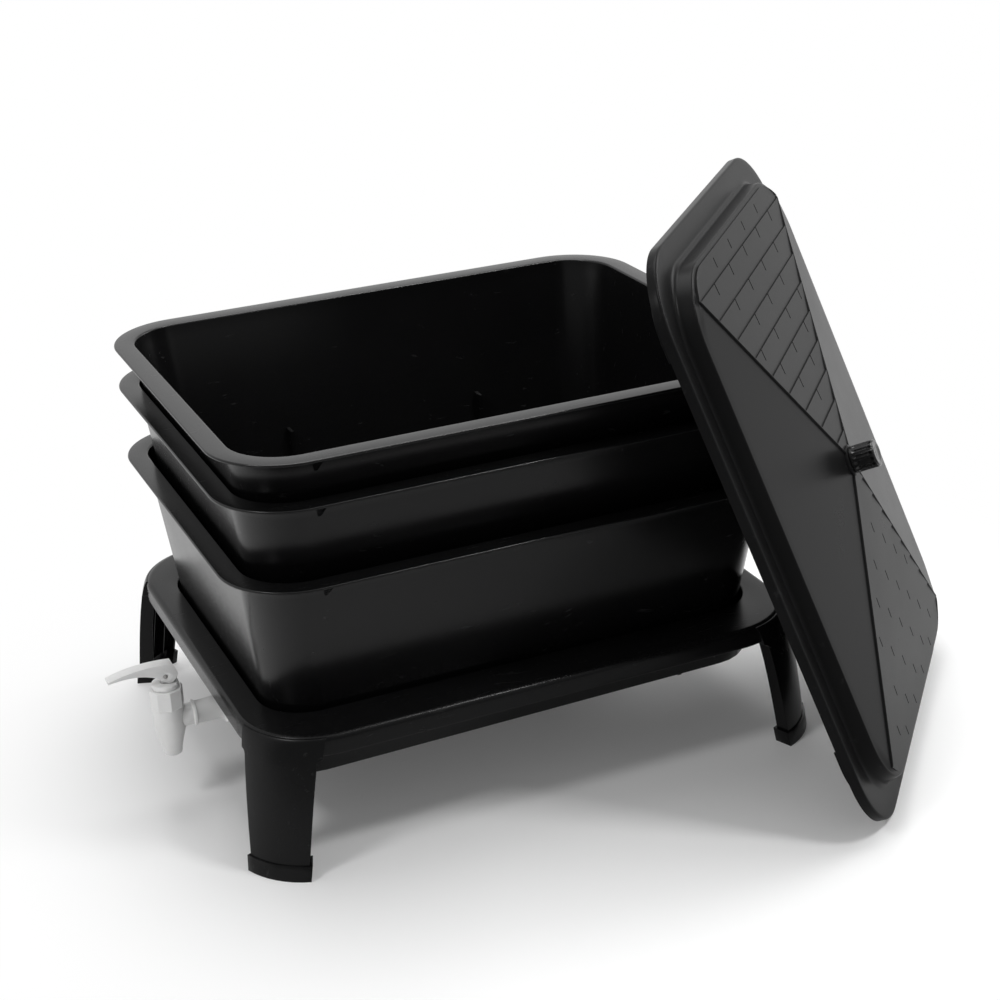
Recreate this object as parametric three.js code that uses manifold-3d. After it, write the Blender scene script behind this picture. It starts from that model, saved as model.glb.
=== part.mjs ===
// Wormery: three nesting trays in a legged stand with a collector basin and a
// lever tap, and its hipped lid taken off and leaning on the corner of the top tray.
// Millimetres, +Z up, X along the long side (tap at -X), origin at the bottom centre.
import * as THREE from 'three';
import { mergeVertices } from 'three/addons/utils/BufferGeometryUtils.js';
import Module from 'manifold-3d';

const wasm = await Module();
wasm.setup();

// Shared fits and facets
const GAP = 0.3;
const WALL = 2.6;
const SINK = 1.2;
const CORNER_STEPS = 6;
const ROUND_STEPS = 24;
const FINE_STEPS = 12;
const HALF = 0.5;
const TURN = 2 * Math.PI;
const QUARTER = TURN / 4;

// Trays: one moulding, seen at three heights
const RIM_LONG = 580;
const RIM_SHORT = 460;
const RIM_RADIUS = 74;
const RIM_WIDTH = 21;
const RIM_THICK = 3;
const TRAY_HEIGHT = 170;
const TRAY_FLOOR = 3;
const LONG_DRAFT = 17.5;
const SHORT_DRAFT = 35.5;
const BOTTOM_RADIUS = 48;
const BOTTOM_EDGE = 3;
const GUSSET_DROP = 15;
const GUSSET_REACH = 15;
const GUSSET_THICK = 3;
const GUSSET_INSET = 84;
const REST_UNDER = 9;
const REST_THICK = 4;
const REST_SHARE = 0.45;
const HOLE_RADIUS = 4;
const HOLE_SIDES = 6;
const HOLE_ROWS = 5;
const HOLE_COLUMNS = 8;
const HOLE_PITCH = 56;

// Heights of the three rims above the floor, as they stand half nested
const TOP_RIM_HEIGHT = 401;
const MIDDLE_RIM_HEIGHT = 358;
const BOTTOM_RIM_HEIGHT = 281;

// Stand: a little shorter than the rims along X and a little wider across
const STAND_SHORTER = 6;
const STAND_WIDER = 10;
const STAND_LONG = RIM_LONG - STAND_SHORTER;
const STAND_SHORT = RIM_SHORT + STAND_WIDER;
const STAND_RADIUS = 78;
const STAND_HEIGHT = 136;
const STAND_WALL = 3;
const SKIRT_DROP = 20;
const EDGE_ROUND = 6;
const THROAT_CLEAR = 2.2;
const THROAT_DROP = 12;
const LEG_STEP = 0.6;
const LEG_HALF_ANGLE_TOP = 0.52;
const LEG_HALF_ANGLE_LOW = 0.39;
const LEG_SPLAY_SKIRT = 8;
const LEG_SPLAY_FLOOR = 27;
const LEG_RETURN = 14;
const LEG_STEPS = 8;
const FOOT_HEIGHT = 15;
const FOOT_FLOOR = 3;
const FOOT_GROW = 2.4;

// Collector basin
const BASIN_FLOOR_HIGH = 79;
const BASIN_FALL = 5;
const BASIN_DRAFT = 5;
const BASIN_LIP = 4;
const BASIN_REST_WIDTH = 14;

// Tap
const TAP_ACROSS = -57;
const TAP_HEIGHT = 94;
const BOSS_REACH = 5;
const BOSS_RADIUS = 19;
const BOSS_INNER = 6;
const SHANK_RADIUS = 9;
const BORE_RADIUS = 6;
const SHANK_BEYOND = 12;
const SEAL_RADIUS = 15;
const SEAL_THICK = 2.6;
const FLANGE_RADIUS = 17;
const FLANGE_THICK = 3.4;
const PIPE_RADIUS = 11;
const PIPE_LENGTH = 54;
const COLLAR_RADIUS = 12.8;
const COLLAR_WIDTH = 3;
const COLLAR_SHARE = 0.42;
const NUT_RADIUS = 13.4;
const NUT_THICK = 7;
const NUT_SIDES = 6;
const SPOUT_DROP = 37;
const SPOUT_RADIUS = 9;
const SPOUT_BORE = 6.4;
const BARREL_RADIUS = 15;
const SHOULDER_DROP = 12;
const HEAD_RADIUS = 16.5;
const HEAD_SIDES = 8;
const HEAD_LOW = 14;
const HEAD_TOP = 35;
const CHAMBER_RADIUS = 10;
const SEAT_DROP = 6;
const SEAT_THICK = 2;
const BONNET_RADIUS = 13;
const BONNET_THICK = 5;
const BONNET_PLUG = 6;
const STEM_RADIUS = 3.6;
const STEM_CLEAR = 0.7;
const STEM_FLAT = 4.4;
const STEM_FLAT_WIDTH = 6.6;
const STEM_EYE = 5;
const PLUNGER_RADIUS = 8.6;
const PLUNGER_THICK = 3;
const PISTON_RISE = 14;
const PISTON_RADIUS = 9.2;
const PISTON_THICK = 4;
const PIN_RADIUS = 2;
const PIN_LENGTH = 14;
const PIN_RISE = 8;
const CAM_LIFT = 4;
const CAM_ANGLE = (85 / 360) * TURN;
const LEVER_WIDTH = 13;
const LEVER_SLOT = 5.2;
const LEVER_THICK = 4;
const LEVER_REACH = 55;
const LEVER_RISE = 12;
const LEVER_TIP_RISE = 7;
const LEVER_STEPS = 8;

// Lid, in its own frame: X along its short side, Y along its long side, Z outwards
const LID_OVERHANG = 3;
const LID_RADIUS = 71;
const LID_WALL = 3;
const LID_LIP = 7;
const LID_BRIM_HEIGHT = 9.5;
const LID_BRIM_WIDTH = 13;
const CROWN_INSET = 29;
const CROWN_RADIUS = 66;
const CROWN_HEIGHT = 26;
const CROWN_BORDER = 1.6;
const APEX_HEIGHT = 50;
const COURSES = 10;
const COURSE_STEP = 1.3;
const HIP_WIDTH = 5;
const HIP_RISE = 1.4;
const KNOB_SEAT_RADIUS = 19;
const KNOB_SEAT_RISE = 1.5;
const KNOB_RADIUS = 14;
const KNOB_HEIGHT = 25;
const KNOB_NECK = 11;
const KNOB_FLUTES = 10;
const FLUTE_RADIUS = 2;
const SCREW_RADIUS = 2.5;
const SCREW_HEAD = 5.5;
const SCREW_HEAD_THICK = 2.5;
const SCREW_DEPTH = 12;
const LUG_CLEAR = 1.2;
const LUG_DROP = 11;
const LUG_STRAIGHT = 16;
const LUG_WALL = 2.6;

// How the lid leans: tilt of its long side, turn of its short side, offset along it
const LID_TILT = (67.5 / 360) * TURN;
const LID_TURN = (47.9 / 360) * TURN;
const LID_SIDESTEP = 24;

const BLACK_GLOSS = { color: 0x0d0d0e, roughness: 0.3, metalness: 0 };
const BLACK_SATIN = { color: 0x1b1b1d, roughness: 0.5, metalness: 0 };
const WHITE_PLASTIC = { color: 0xe9e9e6, roughness: 0.35, metalness: 0 };
const GREY_RUBBER = { color: 0x3a3a3c, roughness: 0.8, metalness: 0 };
const STEEL = { color: 0xb4b6b8, roughness: 0.35, metalness: 1 };

// Solids: join, cut and back to geometry
function toSolid(geometry) {
  const bare = geometry.clone();
  bare.deleteAttribute('normal');
  bare.deleteAttribute('uv');
  const merged = mergeVertices(bare);
  return new wasm.Manifold(new wasm.Mesh({
    numProp: 3,
    vertProperties: new Float32Array(merged.attributes.position.array),
    triVerts: new Uint32Array(merged.index.array),
  }));
}

function toGeometry(solid) {
  const mesh = solid.getMesh();
  const geometry = new THREE.BufferGeometry();
  geometry.setAttribute('position', new THREE.BufferAttribute(mesh.vertProperties, 3));
  geometry.setIndex(new THREE.BufferAttribute(mesh.triVerts, 1));
  geometry.computeVertexNormals();
  return geometry;
}

function joined(geometries) {
  return geometries.map(toSolid).reduce((whole, piece) => whole.add(piece));
}

function cut(solid, geometries) {
  return geometries.map(toSolid).reduce((rest, tool) => rest.subtract(tool), solid);
}

function node(name, geometry, look) {
  const mesh = new THREE.Mesh(geometry, new THREE.MeshStandardMaterial(look));
  mesh.name = name;
  return mesh;
}

// A rounded rectangle as a ring of points; heightAt gives Z from X
function loopAt(halfX, halfY, radius, heightAt) {
  const rise = typeof heightAt === 'number' ? () => heightAt : heightAt;
  const points = [];
  for (let corner = 0; corner < 4; corner += 1) {
    const signX = corner === 0 || corner === 3 ? 1 : -1;
    const signY = corner < 2 ? 1 : -1;
    for (let step = 0; step <= CORNER_STEPS; step += 1) {
      const angle = (corner + step / CORNER_STEPS) * QUARTER;
      const x = signX * (halfX - radius) + radius * Math.cos(angle);
      const y = signY * (halfY - radius) + radius * Math.sin(angle);
      points.push(new THREE.Vector3(x, y, rise(x)));
    }
  }
  return points;
}

function capTriangles(loop, start, flipped) {
  const flat = loop.map((point) => new THREE.Vector2(point.x, point.y));
  return THREE.ShapeUtils.triangulateShape(flat, []).flatMap(([a, b, c]) => (
    flipped ? [start + a, start + c, start + b] : [start + a, start + b, start + c]
  ));
}

// A closed skin through rings of equally many points, capped at both ends or
// closed on itself. Rings run anticlockwise and go up outside, down inside.
function loft(loops, closed = false) {
  const count = loops[0].length;
  const indices = [];
  const last = closed ? loops.length : loops.length - 1;
  for (let ring = 0; ring < last; ring += 1) {
    const low = ring * count;
    const high = ((ring + 1) % loops.length) * count;
    for (let step = 0; step < count; step += 1) {
      const next = (step + 1) % count;
      indices.push(low + step, low + next, high + next, low + step, high + next, high + step);
    }
  }
  if (!closed) {
    indices.push(...capTriangles(loops[0], 0, true));
    indices.push(...capTriangles(loops.at(-1), (loops.length - 1) * count, false));
  }
  const geometry = new THREE.BufferGeometry().setFromPoints(loops.flat());
  geometry.setIndex(indices);
  return geometry;
}

function disc(radius, length, sides = ROUND_STEPS) {
  return new THREE.CylinderGeometry(radius, radius, length, sides);
}

// A disc or prism along X between two X values, on the tap's pipe axis
function alongPipe(radius, from, to, sides = ROUND_STEPS) {
  const geometry = disc(radius, Math.abs(to - from), sides);
  geometry.rotateZ(QUARTER);
  geometry.translate(HALF * (from + to), TAP_ACROSS, TAP_HEIGHT);
  return geometry;
}

// A disc or prism along Z between two heights, on the axis at x, y
function upright(radius, low, high, x, y, sides = ROUND_STEPS, turn = 0) {
  const geometry = disc(radius, high - low, sides);
  geometry.rotateX(QUARTER);
  geometry.rotateZ(turn);
  geometry.translate(x, y, HALF * (low + high));
  return geometry;
}

// A flat plate standing on edge: its outline is in (distance from centre, height),
// and it faces along the wall at an offset from the middle
function uprightPlate(outline, thick, offset, turn) {
  const shape = new THREE.Shape(outline.map(([out, high]) => new THREE.Vector2(out, high)));
  const geometry = new THREE.ExtrudeGeometry(shape, { depth: thick, bevelEnabled: false });
  geometry.translate(0, 0, -HALF * thick - offset);
  geometry.rotateX(QUARTER);
  geometry.rotateZ(turn);
  return geometry;
}

// Tray sizes worked out from the rim, the drafts and the wall
const openHalf = { x: HALF * RIM_LONG - RIM_WIDTH, y: HALF * RIM_SHORT - RIM_WIDTH };
const outerTop = { x: openHalf.x + WALL, y: openHalf.y + WALL };
const outerLow = { x: outerTop.x - LONG_DRAFT, y: outerTop.y - SHORT_DRAFT };
const openRadius = RIM_RADIUS - RIM_WIDTH;

function trayOuterHalf(axis, height) {
  return outerLow[axis] + (outerTop[axis] - outerLow[axis]) * (height / (TRAY_HEIGHT - RIM_THICK));
}

function trayInnerHalf(axis, height) {
  const share = (height - TRAY_FLOOR) / (TRAY_HEIGHT - TRAY_FLOOR);
  return outerLow[axis] - WALL + (openHalf[axis] - outerLow[axis] + WALL) * share;
}

// The four sides of a tray: which half size faces out, which lies along, and the turn
const SIDES = [
  { out: 'x', along: 'y', turn: 0 },
  { out: 'y', along: 'x', turn: QUARTER },
  { out: 'x', along: 'y', turn: 2 * QUARTER },
  { out: 'y', along: 'x', turn: 3 * QUARTER },
];

function gussets() {
  const underRim = TRAY_HEIGHT - RIM_THICK;
  const rimHalf = { x: HALF * RIM_LONG, y: HALF * RIM_SHORT };
  return SIDES.flatMap(({ out, along, turn }) => [-1, 1].map((end) => {
    const outline = [
      [trayOuterHalf(out, underRim) - SINK, underRim + SINK],
      [trayOuterHalf(out, underRim - GUSSET_DROP) - SINK, underRim - GUSSET_DROP],
      [trayOuterHalf(out, underRim - GUSSET_DROP) + SINK, underRim - GUSSET_DROP],
      [trayOuterHalf(out, underRim) + GUSSET_REACH, underRim - SINK],
      [trayOuterHalf(out, underRim) + GUSSET_REACH, underRim + SINK],
    ];
    return uprightPlate(outline, GUSSET_THICK, end * (rimHalf[along] - GUSSET_INSET), turn);
  }));
}

// Short upright plates inside the wall whose tops carry what stands in the tub
function rests(innerHalf, floorHeight, topHeight, innerFace, share) {
  return SIDES.flatMap(({ out, along, turn }) => [-1, 1].map((end) => {
    const outline = [
      [innerFace[out], floorHeight - SINK],
      [innerHalf(out, floorHeight) + SINK, floorHeight - SINK],
      [innerHalf(out, topHeight) + SINK, topHeight],
      [innerFace[out], topHeight],
    ];
    return uprightPlate(outline, REST_THICK, end * share * innerFace[along], turn);
  }));
}

function drainHoles() {
  const holes = [];
  for (let row = 0; row < HOLE_ROWS; row += 1) {
    for (let column = 0; column < HOLE_COLUMNS; column += 1) {
      const x = (column - HALF * (HOLE_COLUMNS - 1)) * HOLE_PITCH;
      const y = (row - HALF * (HOLE_ROWS - 1)) * HOLE_PITCH;
      holes.push(upright(HOLE_RADIUS, -SINK, TRAY_FLOOR + SINK, x, y, HOLE_SIDES));
    }
  }
  return holes;
}

function trayTub() {
  const underRim = TRAY_HEIGHT - RIM_THICK;
  return loft([
    loopAt(outerLow.x - BOTTOM_EDGE, outerLow.y - BOTTOM_EDGE, BOTTOM_RADIUS - BOTTOM_EDGE, 0),
    loopAt(outerLow.x, outerLow.y, BOTTOM_RADIUS, BOTTOM_EDGE),
    loopAt(outerTop.x, outerTop.y, openRadius + WALL, underRim),
    loopAt(HALF * RIM_LONG, HALF * RIM_SHORT, RIM_RADIUS, underRim),
    loopAt(HALF * RIM_LONG, HALF * RIM_SHORT, RIM_RADIUS, TRAY_HEIGHT),
    loopAt(openHalf.x, openHalf.y, openRadius, TRAY_HEIGHT),
    loopAt(outerLow.x - WALL, outerLow.y - WALL, BOTTOM_RADIUS - WALL, TRAY_FLOOR + BOTTOM_EDGE),
    loopAt(outerLow.x - WALL - BOTTOM_EDGE, outerLow.y - WALL - BOTTOM_EDGE,
      BOTTOM_RADIUS - WALL - BOTTOM_EDGE, TRAY_FLOOR),
  ]);
}

// One tray whose rests carry the next tray's floor at nestHeight above its own base
function tray(name, rimHeight, nestHeight) {
  const restFace = { x: outerLow.x - REST_UNDER, y: outerLow.y - REST_UNDER };
  const whole = joined([
    trayTub(),
    ...gussets(),
    ...rests(trayInnerHalf, TRAY_FLOOR, nestHeight - GAP, restFace, REST_SHARE),
  ]);
  const mesh = node(name, toGeometry(cut(whole, drainHoles())), BLACK_GLOSS);
  mesh.position.z = rimHeight - TRAY_HEIGHT;
  return mesh;
}

// Stand: top plate with an open throat, a skirt and four quarter-round legs
const standHalf = { x: HALF * STAND_LONG, y: HALF * STAND_SHORT };
const trayBase = BOTTOM_RIM_HEIGHT - TRAY_HEIGHT;
const throatHalf = {
  x: trayOuterHalf('x', STAND_HEIGHT - trayBase) + THROAT_CLEAR,
  y: trayOuterHalf('y', STAND_HEIGHT - trayBase) + THROAT_CLEAR,
};
const underPlate = STAND_HEIGHT - STAND_WALL;
const skirtFoot = STAND_HEIGHT - SKIRT_DROP;
const legTop = underPlate + SINK;

function ringAt(half, inset, radius, height) {
  return loopAt(half.x - inset, half.y - inset, radius - inset, height);
}

function standTop() {
  const edgeShare = Math.sin(QUARTER / 2);
  return loft([
    ringAt(standHalf, 0, STAND_RADIUS, skirtFoot),
    ringAt(standHalf, 0, STAND_RADIUS, STAND_HEIGHT - EDGE_ROUND),
    ringAt(standHalf, EDGE_ROUND * (1 - edgeShare), STAND_RADIUS,
      STAND_HEIGHT - EDGE_ROUND * (1 - edgeShare)),
    ringAt(standHalf, EDGE_ROUND, STAND_RADIUS, STAND_HEIGHT),
    ringAt(throatHalf, 0, BOTTOM_RADIUS, STAND_HEIGHT),
    ringAt(throatHalf, 0, BOTTOM_RADIUS, STAND_HEIGHT - THROAT_DROP),
    ringAt(throatHalf, -STAND_WALL, BOTTOM_RADIUS, STAND_HEIGHT - THROAT_DROP),
    ringAt(throatHalf, -STAND_WALL, BOTTOM_RADIUS, underPlate),
    ringAt(standHalf, EDGE_ROUND, STAND_RADIUS, underPlate),
    ringAt(standHalf, STAND_WALL, STAND_RADIUS, underPlate - STAND_WALL),
    ringAt(standHalf, STAND_WALL, STAND_RADIUS, skirtFoot),
  ], true);
}

// How far out along the corner's diagonal a leg stands: from under the plate it leaves
// the skirt's foot by LEG_SPLAY_SKIRT and reaches the floor by LEG_SPLAY_FLOOR
function legSplayAt(height) {
  if (height > skirtFoot) {
    return LEG_SPLAY_SKIRT * (legTop - height) / (legTop - skirtFoot);
  }
  return LEG_SPLAY_FLOOR + (LEG_SPLAY_SKIRT - LEG_SPLAY_FLOOR) * (height / skirtFoot);
}

// A leg's C-shaped section: an arc of the corner with turned-in edges, grown by grow
function legSection(middle, halfAngle, grow, height) {
  const outer = STAND_RADIUS - LEG_STEP + grow;
  const inner = STAND_RADIUS - LEG_STEP - STAND_WALL - grow;
  const tip = STAND_RADIUS - LEG_STEP - LEG_RETURN - grow;
  const wide = halfAngle + grow / STAND_RADIUS;
  const narrow = halfAngle - (STAND_WALL + grow) / STAND_RADIUS;
  const splay = legSplayAt(height);
  const centre = {
    x: Math.sign(Math.cos(middle)) * (standHalf.x - STAND_RADIUS) + splay * Math.cos(middle),
    y: Math.sign(Math.sin(middle)) * (standHalf.y - STAND_RADIUS) + splay * Math.sin(middle),
  };
  const at = (radius, angle) => new THREE.Vector3(
    centre.x + radius * Math.cos(middle + angle),
    centre.y + radius * Math.sin(middle + angle),
    height,
  );
  const arc = (radius, from, to) => Array.from({ length: LEG_STEPS + 1 }, (_, step) => (
    at(radius, from + (to - from) * (step / LEG_STEPS))
  ));
  return [...arc(outer, -wide, wide), at(tip, wide), at(tip, narrow),
    ...arc(inner, narrow, -narrow), at(tip, -narrow), at(tip, -wide)];
}

function legAngleAt(height) {
  const share = height / STAND_HEIGHT;
  return LEG_HALF_ANGLE_LOW + (LEG_HALF_ANGLE_TOP - LEG_HALF_ANGLE_LOW) * share;
}

function legThrough(middle, grow, heights) {
  return loft(heights.map((height) => legSection(middle, legAngleAt(height), grow, height)));
}

const LEGS = [
  { name: 'back_right', middle: QUARTER * HALF },
  { name: 'back_left', middle: QUARTER * (1 + HALF) },
  { name: 'front_left', middle: QUARTER * (2 + HALF) },
  { name: 'front_right', middle: QUARTER * (3 + HALF) },
];

function stand() {
  const legs = LEGS.map(({ middle }) => (
    legThrough(middle, 0, [FOOT_FLOOR + GAP, skirtFoot, legTop])
  ));
  return node('stand', toGeometry(joined([standTop(), ...legs])), BLACK_GLOSS);
}

function footCap({ name, middle }) {
  const block = toSolid(legThrough(middle, FOOT_GROW, [0, FOOT_HEIGHT]));
  const pocket = legThrough(middle, GAP, [FOOT_FLOOR, FOOT_HEIGHT + SINK]);
  return node(`foot_cap_${name}`, toGeometry(cut(block, [pocket])), BLACK_GLOSS);
}

// Collector basin: hangs under the plate round the throat, with a floor that falls
// to the tap, rests for the bottom tray and a flat boss for the tap
const basinTop = underPlate - GAP;
const basinHalf = { x: throatHalf.x + STAND_WALL + GAP, y: throatHalf.y + STAND_WALL + GAP };
const basinLow = { x: basinHalf.x - BASIN_DRAFT, y: basinHalf.y - BASIN_DRAFT };
const basinNeck = STAND_HEIGHT - THROAT_DROP - WALL;

function basinInnerHalf(axis, height) {
  const share = (height - BASIN_FLOOR_HIGH) / (basinNeck - BASIN_FLOOR_HIGH);
  return basinLow[axis] + (basinHalf[axis] - basinLow[axis]) * Math.min(share, 1);
}

function basinFloorAt(x) {
  return BASIN_FLOOR_HIGH - BASIN_FALL * (basinHalf.x - x) * HALF / basinHalf.x;
}

function basinTub() {
  const under = (x) => basinFloorAt(x) - TRAY_FLOOR;
  const lipFoot = basinTop - STAND_WALL;
  return loft([
    loopAt(basinLow.x + WALL, basinLow.y + WALL, BOTTOM_RADIUS, under),
    ringAt(basinHalf, -WALL, BOTTOM_RADIUS, basinNeck),
    ringAt(basinHalf, -WALL, BOTTOM_RADIUS, lipFoot),
    ringAt(basinHalf, -WALL - BASIN_LIP, BOTTOM_RADIUS, lipFoot),
    ringAt(basinHalf, -WALL - BASIN_LIP, BOTTOM_RADIUS, basinTop),
    ringAt(basinHalf, 0, BOTTOM_RADIUS, basinTop),
    ringAt(basinHalf, 0, BOTTOM_RADIUS, basinNeck),
    loopAt(basinLow.x, basinLow.y, BOTTOM_RADIUS, basinFloorAt),
  ]);
}

// Places along the tap's pipe, from inside the basin to the upright barrel
const bossFace = -(basinInnerHalf('x', TAP_HEIGHT) + WALL + BOSS_REACH);
const bossBack = -(basinInnerHalf('x', TAP_HEIGHT) - BOSS_INNER);
const flangeBack = bossFace - SEAL_THICK - 2 * GAP;
const flangeFace = flangeBack - FLANGE_THICK;
const barrelX = flangeFace - PIPE_LENGTH;
const washerFace = bossBack + GAP + SEAL_THICK;
const nutBack = washerFace + GAP;
const shankEnd = nutBack + SHANK_BEYOND;

function collectorBasin() {
  const restTop = trayBase - GAP;
  const restFace = {
    x: basinInnerHalf('x', restTop) - BASIN_REST_WIDTH,
    y: basinInnerHalf('y', restTop) - BASIN_REST_WIDTH,
  };
  const supports = rests(basinInnerHalf, BASIN_FLOOR_HIGH - BASIN_FALL, restTop, restFace,
    REST_SHARE + REST_SHARE * HALF);
  const whole = joined([
    basinTub(),
    ...supports,
    alongPipe(BOSS_RADIUS, bossFace, bossBack),
  ]);
  const bore = alongPipe(SHANK_RADIUS + GAP, bossFace - SINK, bossBack + SINK);
  return node('collector_basin', toGeometry(cut(whole, [bore])), BLACK_GLOSS);
}

function washer(name, from, to) {
  const ring = cut(toSolid(alongPipe(SEAL_RADIUS, from, to)), [
    alongPipe(SHANK_RADIUS + GAP, from - SINK, to + SINK),
  ]);
  return node(name, toGeometry(ring), GREY_RUBBER);
}

function backNut() {
  const ring = cut(toSolid(alongPipe(NUT_RADIUS, nutBack, nutBack + NUT_THICK, NUT_SIDES)), [
    alongPipe(SHANK_RADIUS + GAP, nutBack - SINK, nutBack + NUT_THICK + SINK),
  ]);
  return node('tap_backnut', toGeometry(ring), WHITE_PLASTIC);
}

// Heights of the tap above its pipe axis
const seatTop = TAP_HEIGHT - SEAT_DROP;
const headTop = TAP_HEIGHT + HEAD_TOP;
const bonnetLow = headTop + GAP;
const bonnetTop = bonnetLow + BONNET_THICK;
const pinHeight = bonnetTop + GAP + PIN_RISE;

// The upright barrel narrows below its shoulder to the spout
function barrel() {
  const profile = [
    [0, TAP_HEIGHT - SPOUT_DROP],
    [SPOUT_RADIUS, TAP_HEIGHT - SPOUT_DROP],
    [HALF * (SPOUT_RADIUS + BARREL_RADIUS), TAP_HEIGHT - HALF * (SPOUT_DROP + SHOULDER_DROP)],
    [BARREL_RADIUS, TAP_HEIGHT - SHOULDER_DROP],
    [BARREL_RADIUS, headTop],
    [0, headTop],
  ];
  const geometry = new THREE.LatheGeometry(
    profile.map(([radius, height]) => new THREE.Vector2(radius, height)),
    ROUND_STEPS,
  );
  geometry.rotateX(QUARTER);
  geometry.translate(barrelX, TAP_ACROSS, 0);
  return geometry;
}

function tapBody() {
  const collarX = barrelX + PIPE_LENGTH * COLLAR_SHARE;
  const whole = joined([
    barrel(),
    upright(HEAD_RADIUS, TAP_HEIGHT + HEAD_LOW, headTop, barrelX, TAP_ACROSS, HEAD_SIDES,
      TURN / HEAD_SIDES * HALF),
    alongPipe(PIPE_RADIUS, barrelX, flangeFace + SINK),
    alongPipe(COLLAR_RADIUS, collarX, collarX + COLLAR_WIDTH),
    alongPipe(FLANGE_RADIUS, flangeFace, flangeBack),
    alongPipe(SHANK_RADIUS, flangeBack - SINK, shankEnd),
  ]);
  const bores = [
    alongPipe(BORE_RADIUS, barrelX, shankEnd + SINK),
    upright(SPOUT_BORE, TAP_HEIGHT - SPOUT_DROP - SINK, seatTop + SINK, barrelX, TAP_ACROSS),
    upright(CHAMBER_RADIUS, seatTop, headTop + SINK, barrelX, TAP_ACROSS),
  ];
  return node('tap_body', toGeometry(cut(whole, bores)), WHITE_PLASTIC);
}

function tapBonnet() {
  const whole = joined([
    upright(BONNET_RADIUS, bonnetLow, bonnetTop, barrelX, TAP_ACROSS),
    upright(CHAMBER_RADIUS - GAP, bonnetLow - BONNET_PLUG, bonnetLow + SINK, barrelX, TAP_ACROSS),
  ]);
  const bore = upright(STEM_RADIUS + STEM_CLEAR, bonnetLow - BONNET_PLUG - SINK,
    bonnetTop + SINK, barrelX, TAP_ACROSS);
  return node('tap_bonnet', toGeometry(cut(whole, [bore])), WHITE_PLASTIC);
}

function pinPrism(radius, length) {
  const geometry = disc(radius, length, FINE_STEPS);
  geometry.translate(barrelX, TAP_ACROSS, pinHeight);
  return geometry;
}

// The stem: plunger plate, round rod, and a flat neck whose eye takes the pin
function tapStem() {
  const plungerTop = seatTop + GAP + PLUNGER_THICK + GAP;
  const flatLow = bonnetTop - BONNET_THICK;
  const flat = new THREE.BoxGeometry(STEM_FLAT_WIDTH, STEM_FLAT, pinHeight - flatLow + SINK);
  flat.translate(barrelX, TAP_ACROSS, HALF * (pinHeight + flatLow + SINK));
  const eye = disc(STEM_EYE, STEM_FLAT, FINE_STEPS);
  eye.translate(barrelX, TAP_ACROSS, pinHeight);
  const whole = joined([
    upright(PLUNGER_RADIUS, plungerTop, plungerTop + SEAT_THICK, barrelX, TAP_ACROSS),
    upright(STEM_RADIUS, plungerTop, flatLow + SINK, barrelX, TAP_ACROSS),
    flat,
    eye,
  ]);
  return node('tap_stem', toGeometry(cut(whole, [pinPrism(PIN_RADIUS + GAP, PIN_LENGTH)])),
    WHITE_PLASTIC);
}

function plungerSeal() {
  const low = seatTop + GAP;
  const pad = upright(PLUNGER_RADIUS, low, low + PLUNGER_THICK, barrelX, TAP_ACROSS);
  return node('tap_plunger_seal', pad, GREY_RUBBER);
}

function pistonSeal() {
  const low = TAP_HEIGHT + PISTON_RISE;
  const ring = cut(toSolid(
    upright(PISTON_RADIUS, low, low + PISTON_THICK, barrelX, TAP_ACROSS),
  ), [
    upright(STEM_RADIUS + GAP, low - SINK, low + PISTON_THICK + SINK, barrelX, TAP_ACROSS),
  ]);
  return node('tap_piston_seal', toGeometry(ring), GREY_RUBBER);
}

// Lever: its cam's reach grows evenly with the turn, so that it lifts the stem
// while it rolls on the bonnet, and a bent arm leads out to the tip
function leverOutline() {
  const gain = CAM_LIFT / CAM_ANGLE;
  const points = [];
  for (let step = 0; step <= LEVER_STEPS; step += 1) {
    const angle = CAM_ANGLE * (step / LEVER_STEPS);
    const reach = PIN_RISE + gain * angle;
    points.push(new THREE.Vector2(
      reach * Math.sin(angle) + gain * Math.cos(angle),
      -reach * Math.cos(angle) + gain * Math.sin(angle),
    ));
  }
  const back = new THREE.Vector2(PIN_RISE, LEVER_RISE);
  const top = new THREE.QuadraticBezierCurve(
    back,
    new THREE.Vector2(-HALF * LEVER_REACH, LEVER_RISE + LEVER_THICK),
    new THREE.Vector2(-LEVER_REACH, LEVER_TIP_RISE),
  );
  const under = new THREE.QuadraticBezierCurve(
    new THREE.Vector2(-LEVER_REACH, LEVER_TIP_RISE - HALF * LEVER_THICK),
    new THREE.Vector2(-HALF * LEVER_REACH, LEVER_RISE - HALF * LEVER_THICK),
    new THREE.Vector2(-PIN_RISE, 0),
  );
  return [...points, ...top.getPoints(LEVER_STEPS), ...under.getPoints(LEVER_STEPS)];
}

function tapLever() {
  const arm = new THREE.ExtrudeGeometry(new THREE.Shape(leverOutline()), {
    depth: LEVER_WIDTH, bevelEnabled: false,
  });
  arm.translate(0, 0, -HALF * LEVER_WIDTH);
  arm.rotateX(QUARTER);
  arm.translate(barrelX, TAP_ACROSS, pinHeight);
  const reach = PIN_RISE + CAM_LIFT;
  const slot = new THREE.BoxGeometry(
    STEM_EYE + GAP + reach + SINK, LEVER_SLOT, STEM_EYE + GAP + reach + SINK,
  );
  slot.translate(
    barrelX + HALF * (reach + SINK - STEM_EYE - GAP),
    TAP_ACROSS,
    pinHeight - HALF * (reach + SINK - STEM_EYE - GAP),
  );
  const whole = cut(toSolid(arm), [slot, pinPrism(PIN_RADIUS + GAP, LEVER_WIDTH + SINK)]);
  return node('tap_lever', toGeometry(whole), WHITE_PLASTIC);
}

function tapPin() {
  return node('tap_pin', pinPrism(PIN_RADIUS, PIN_LENGTH), STEEL);
}

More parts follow.
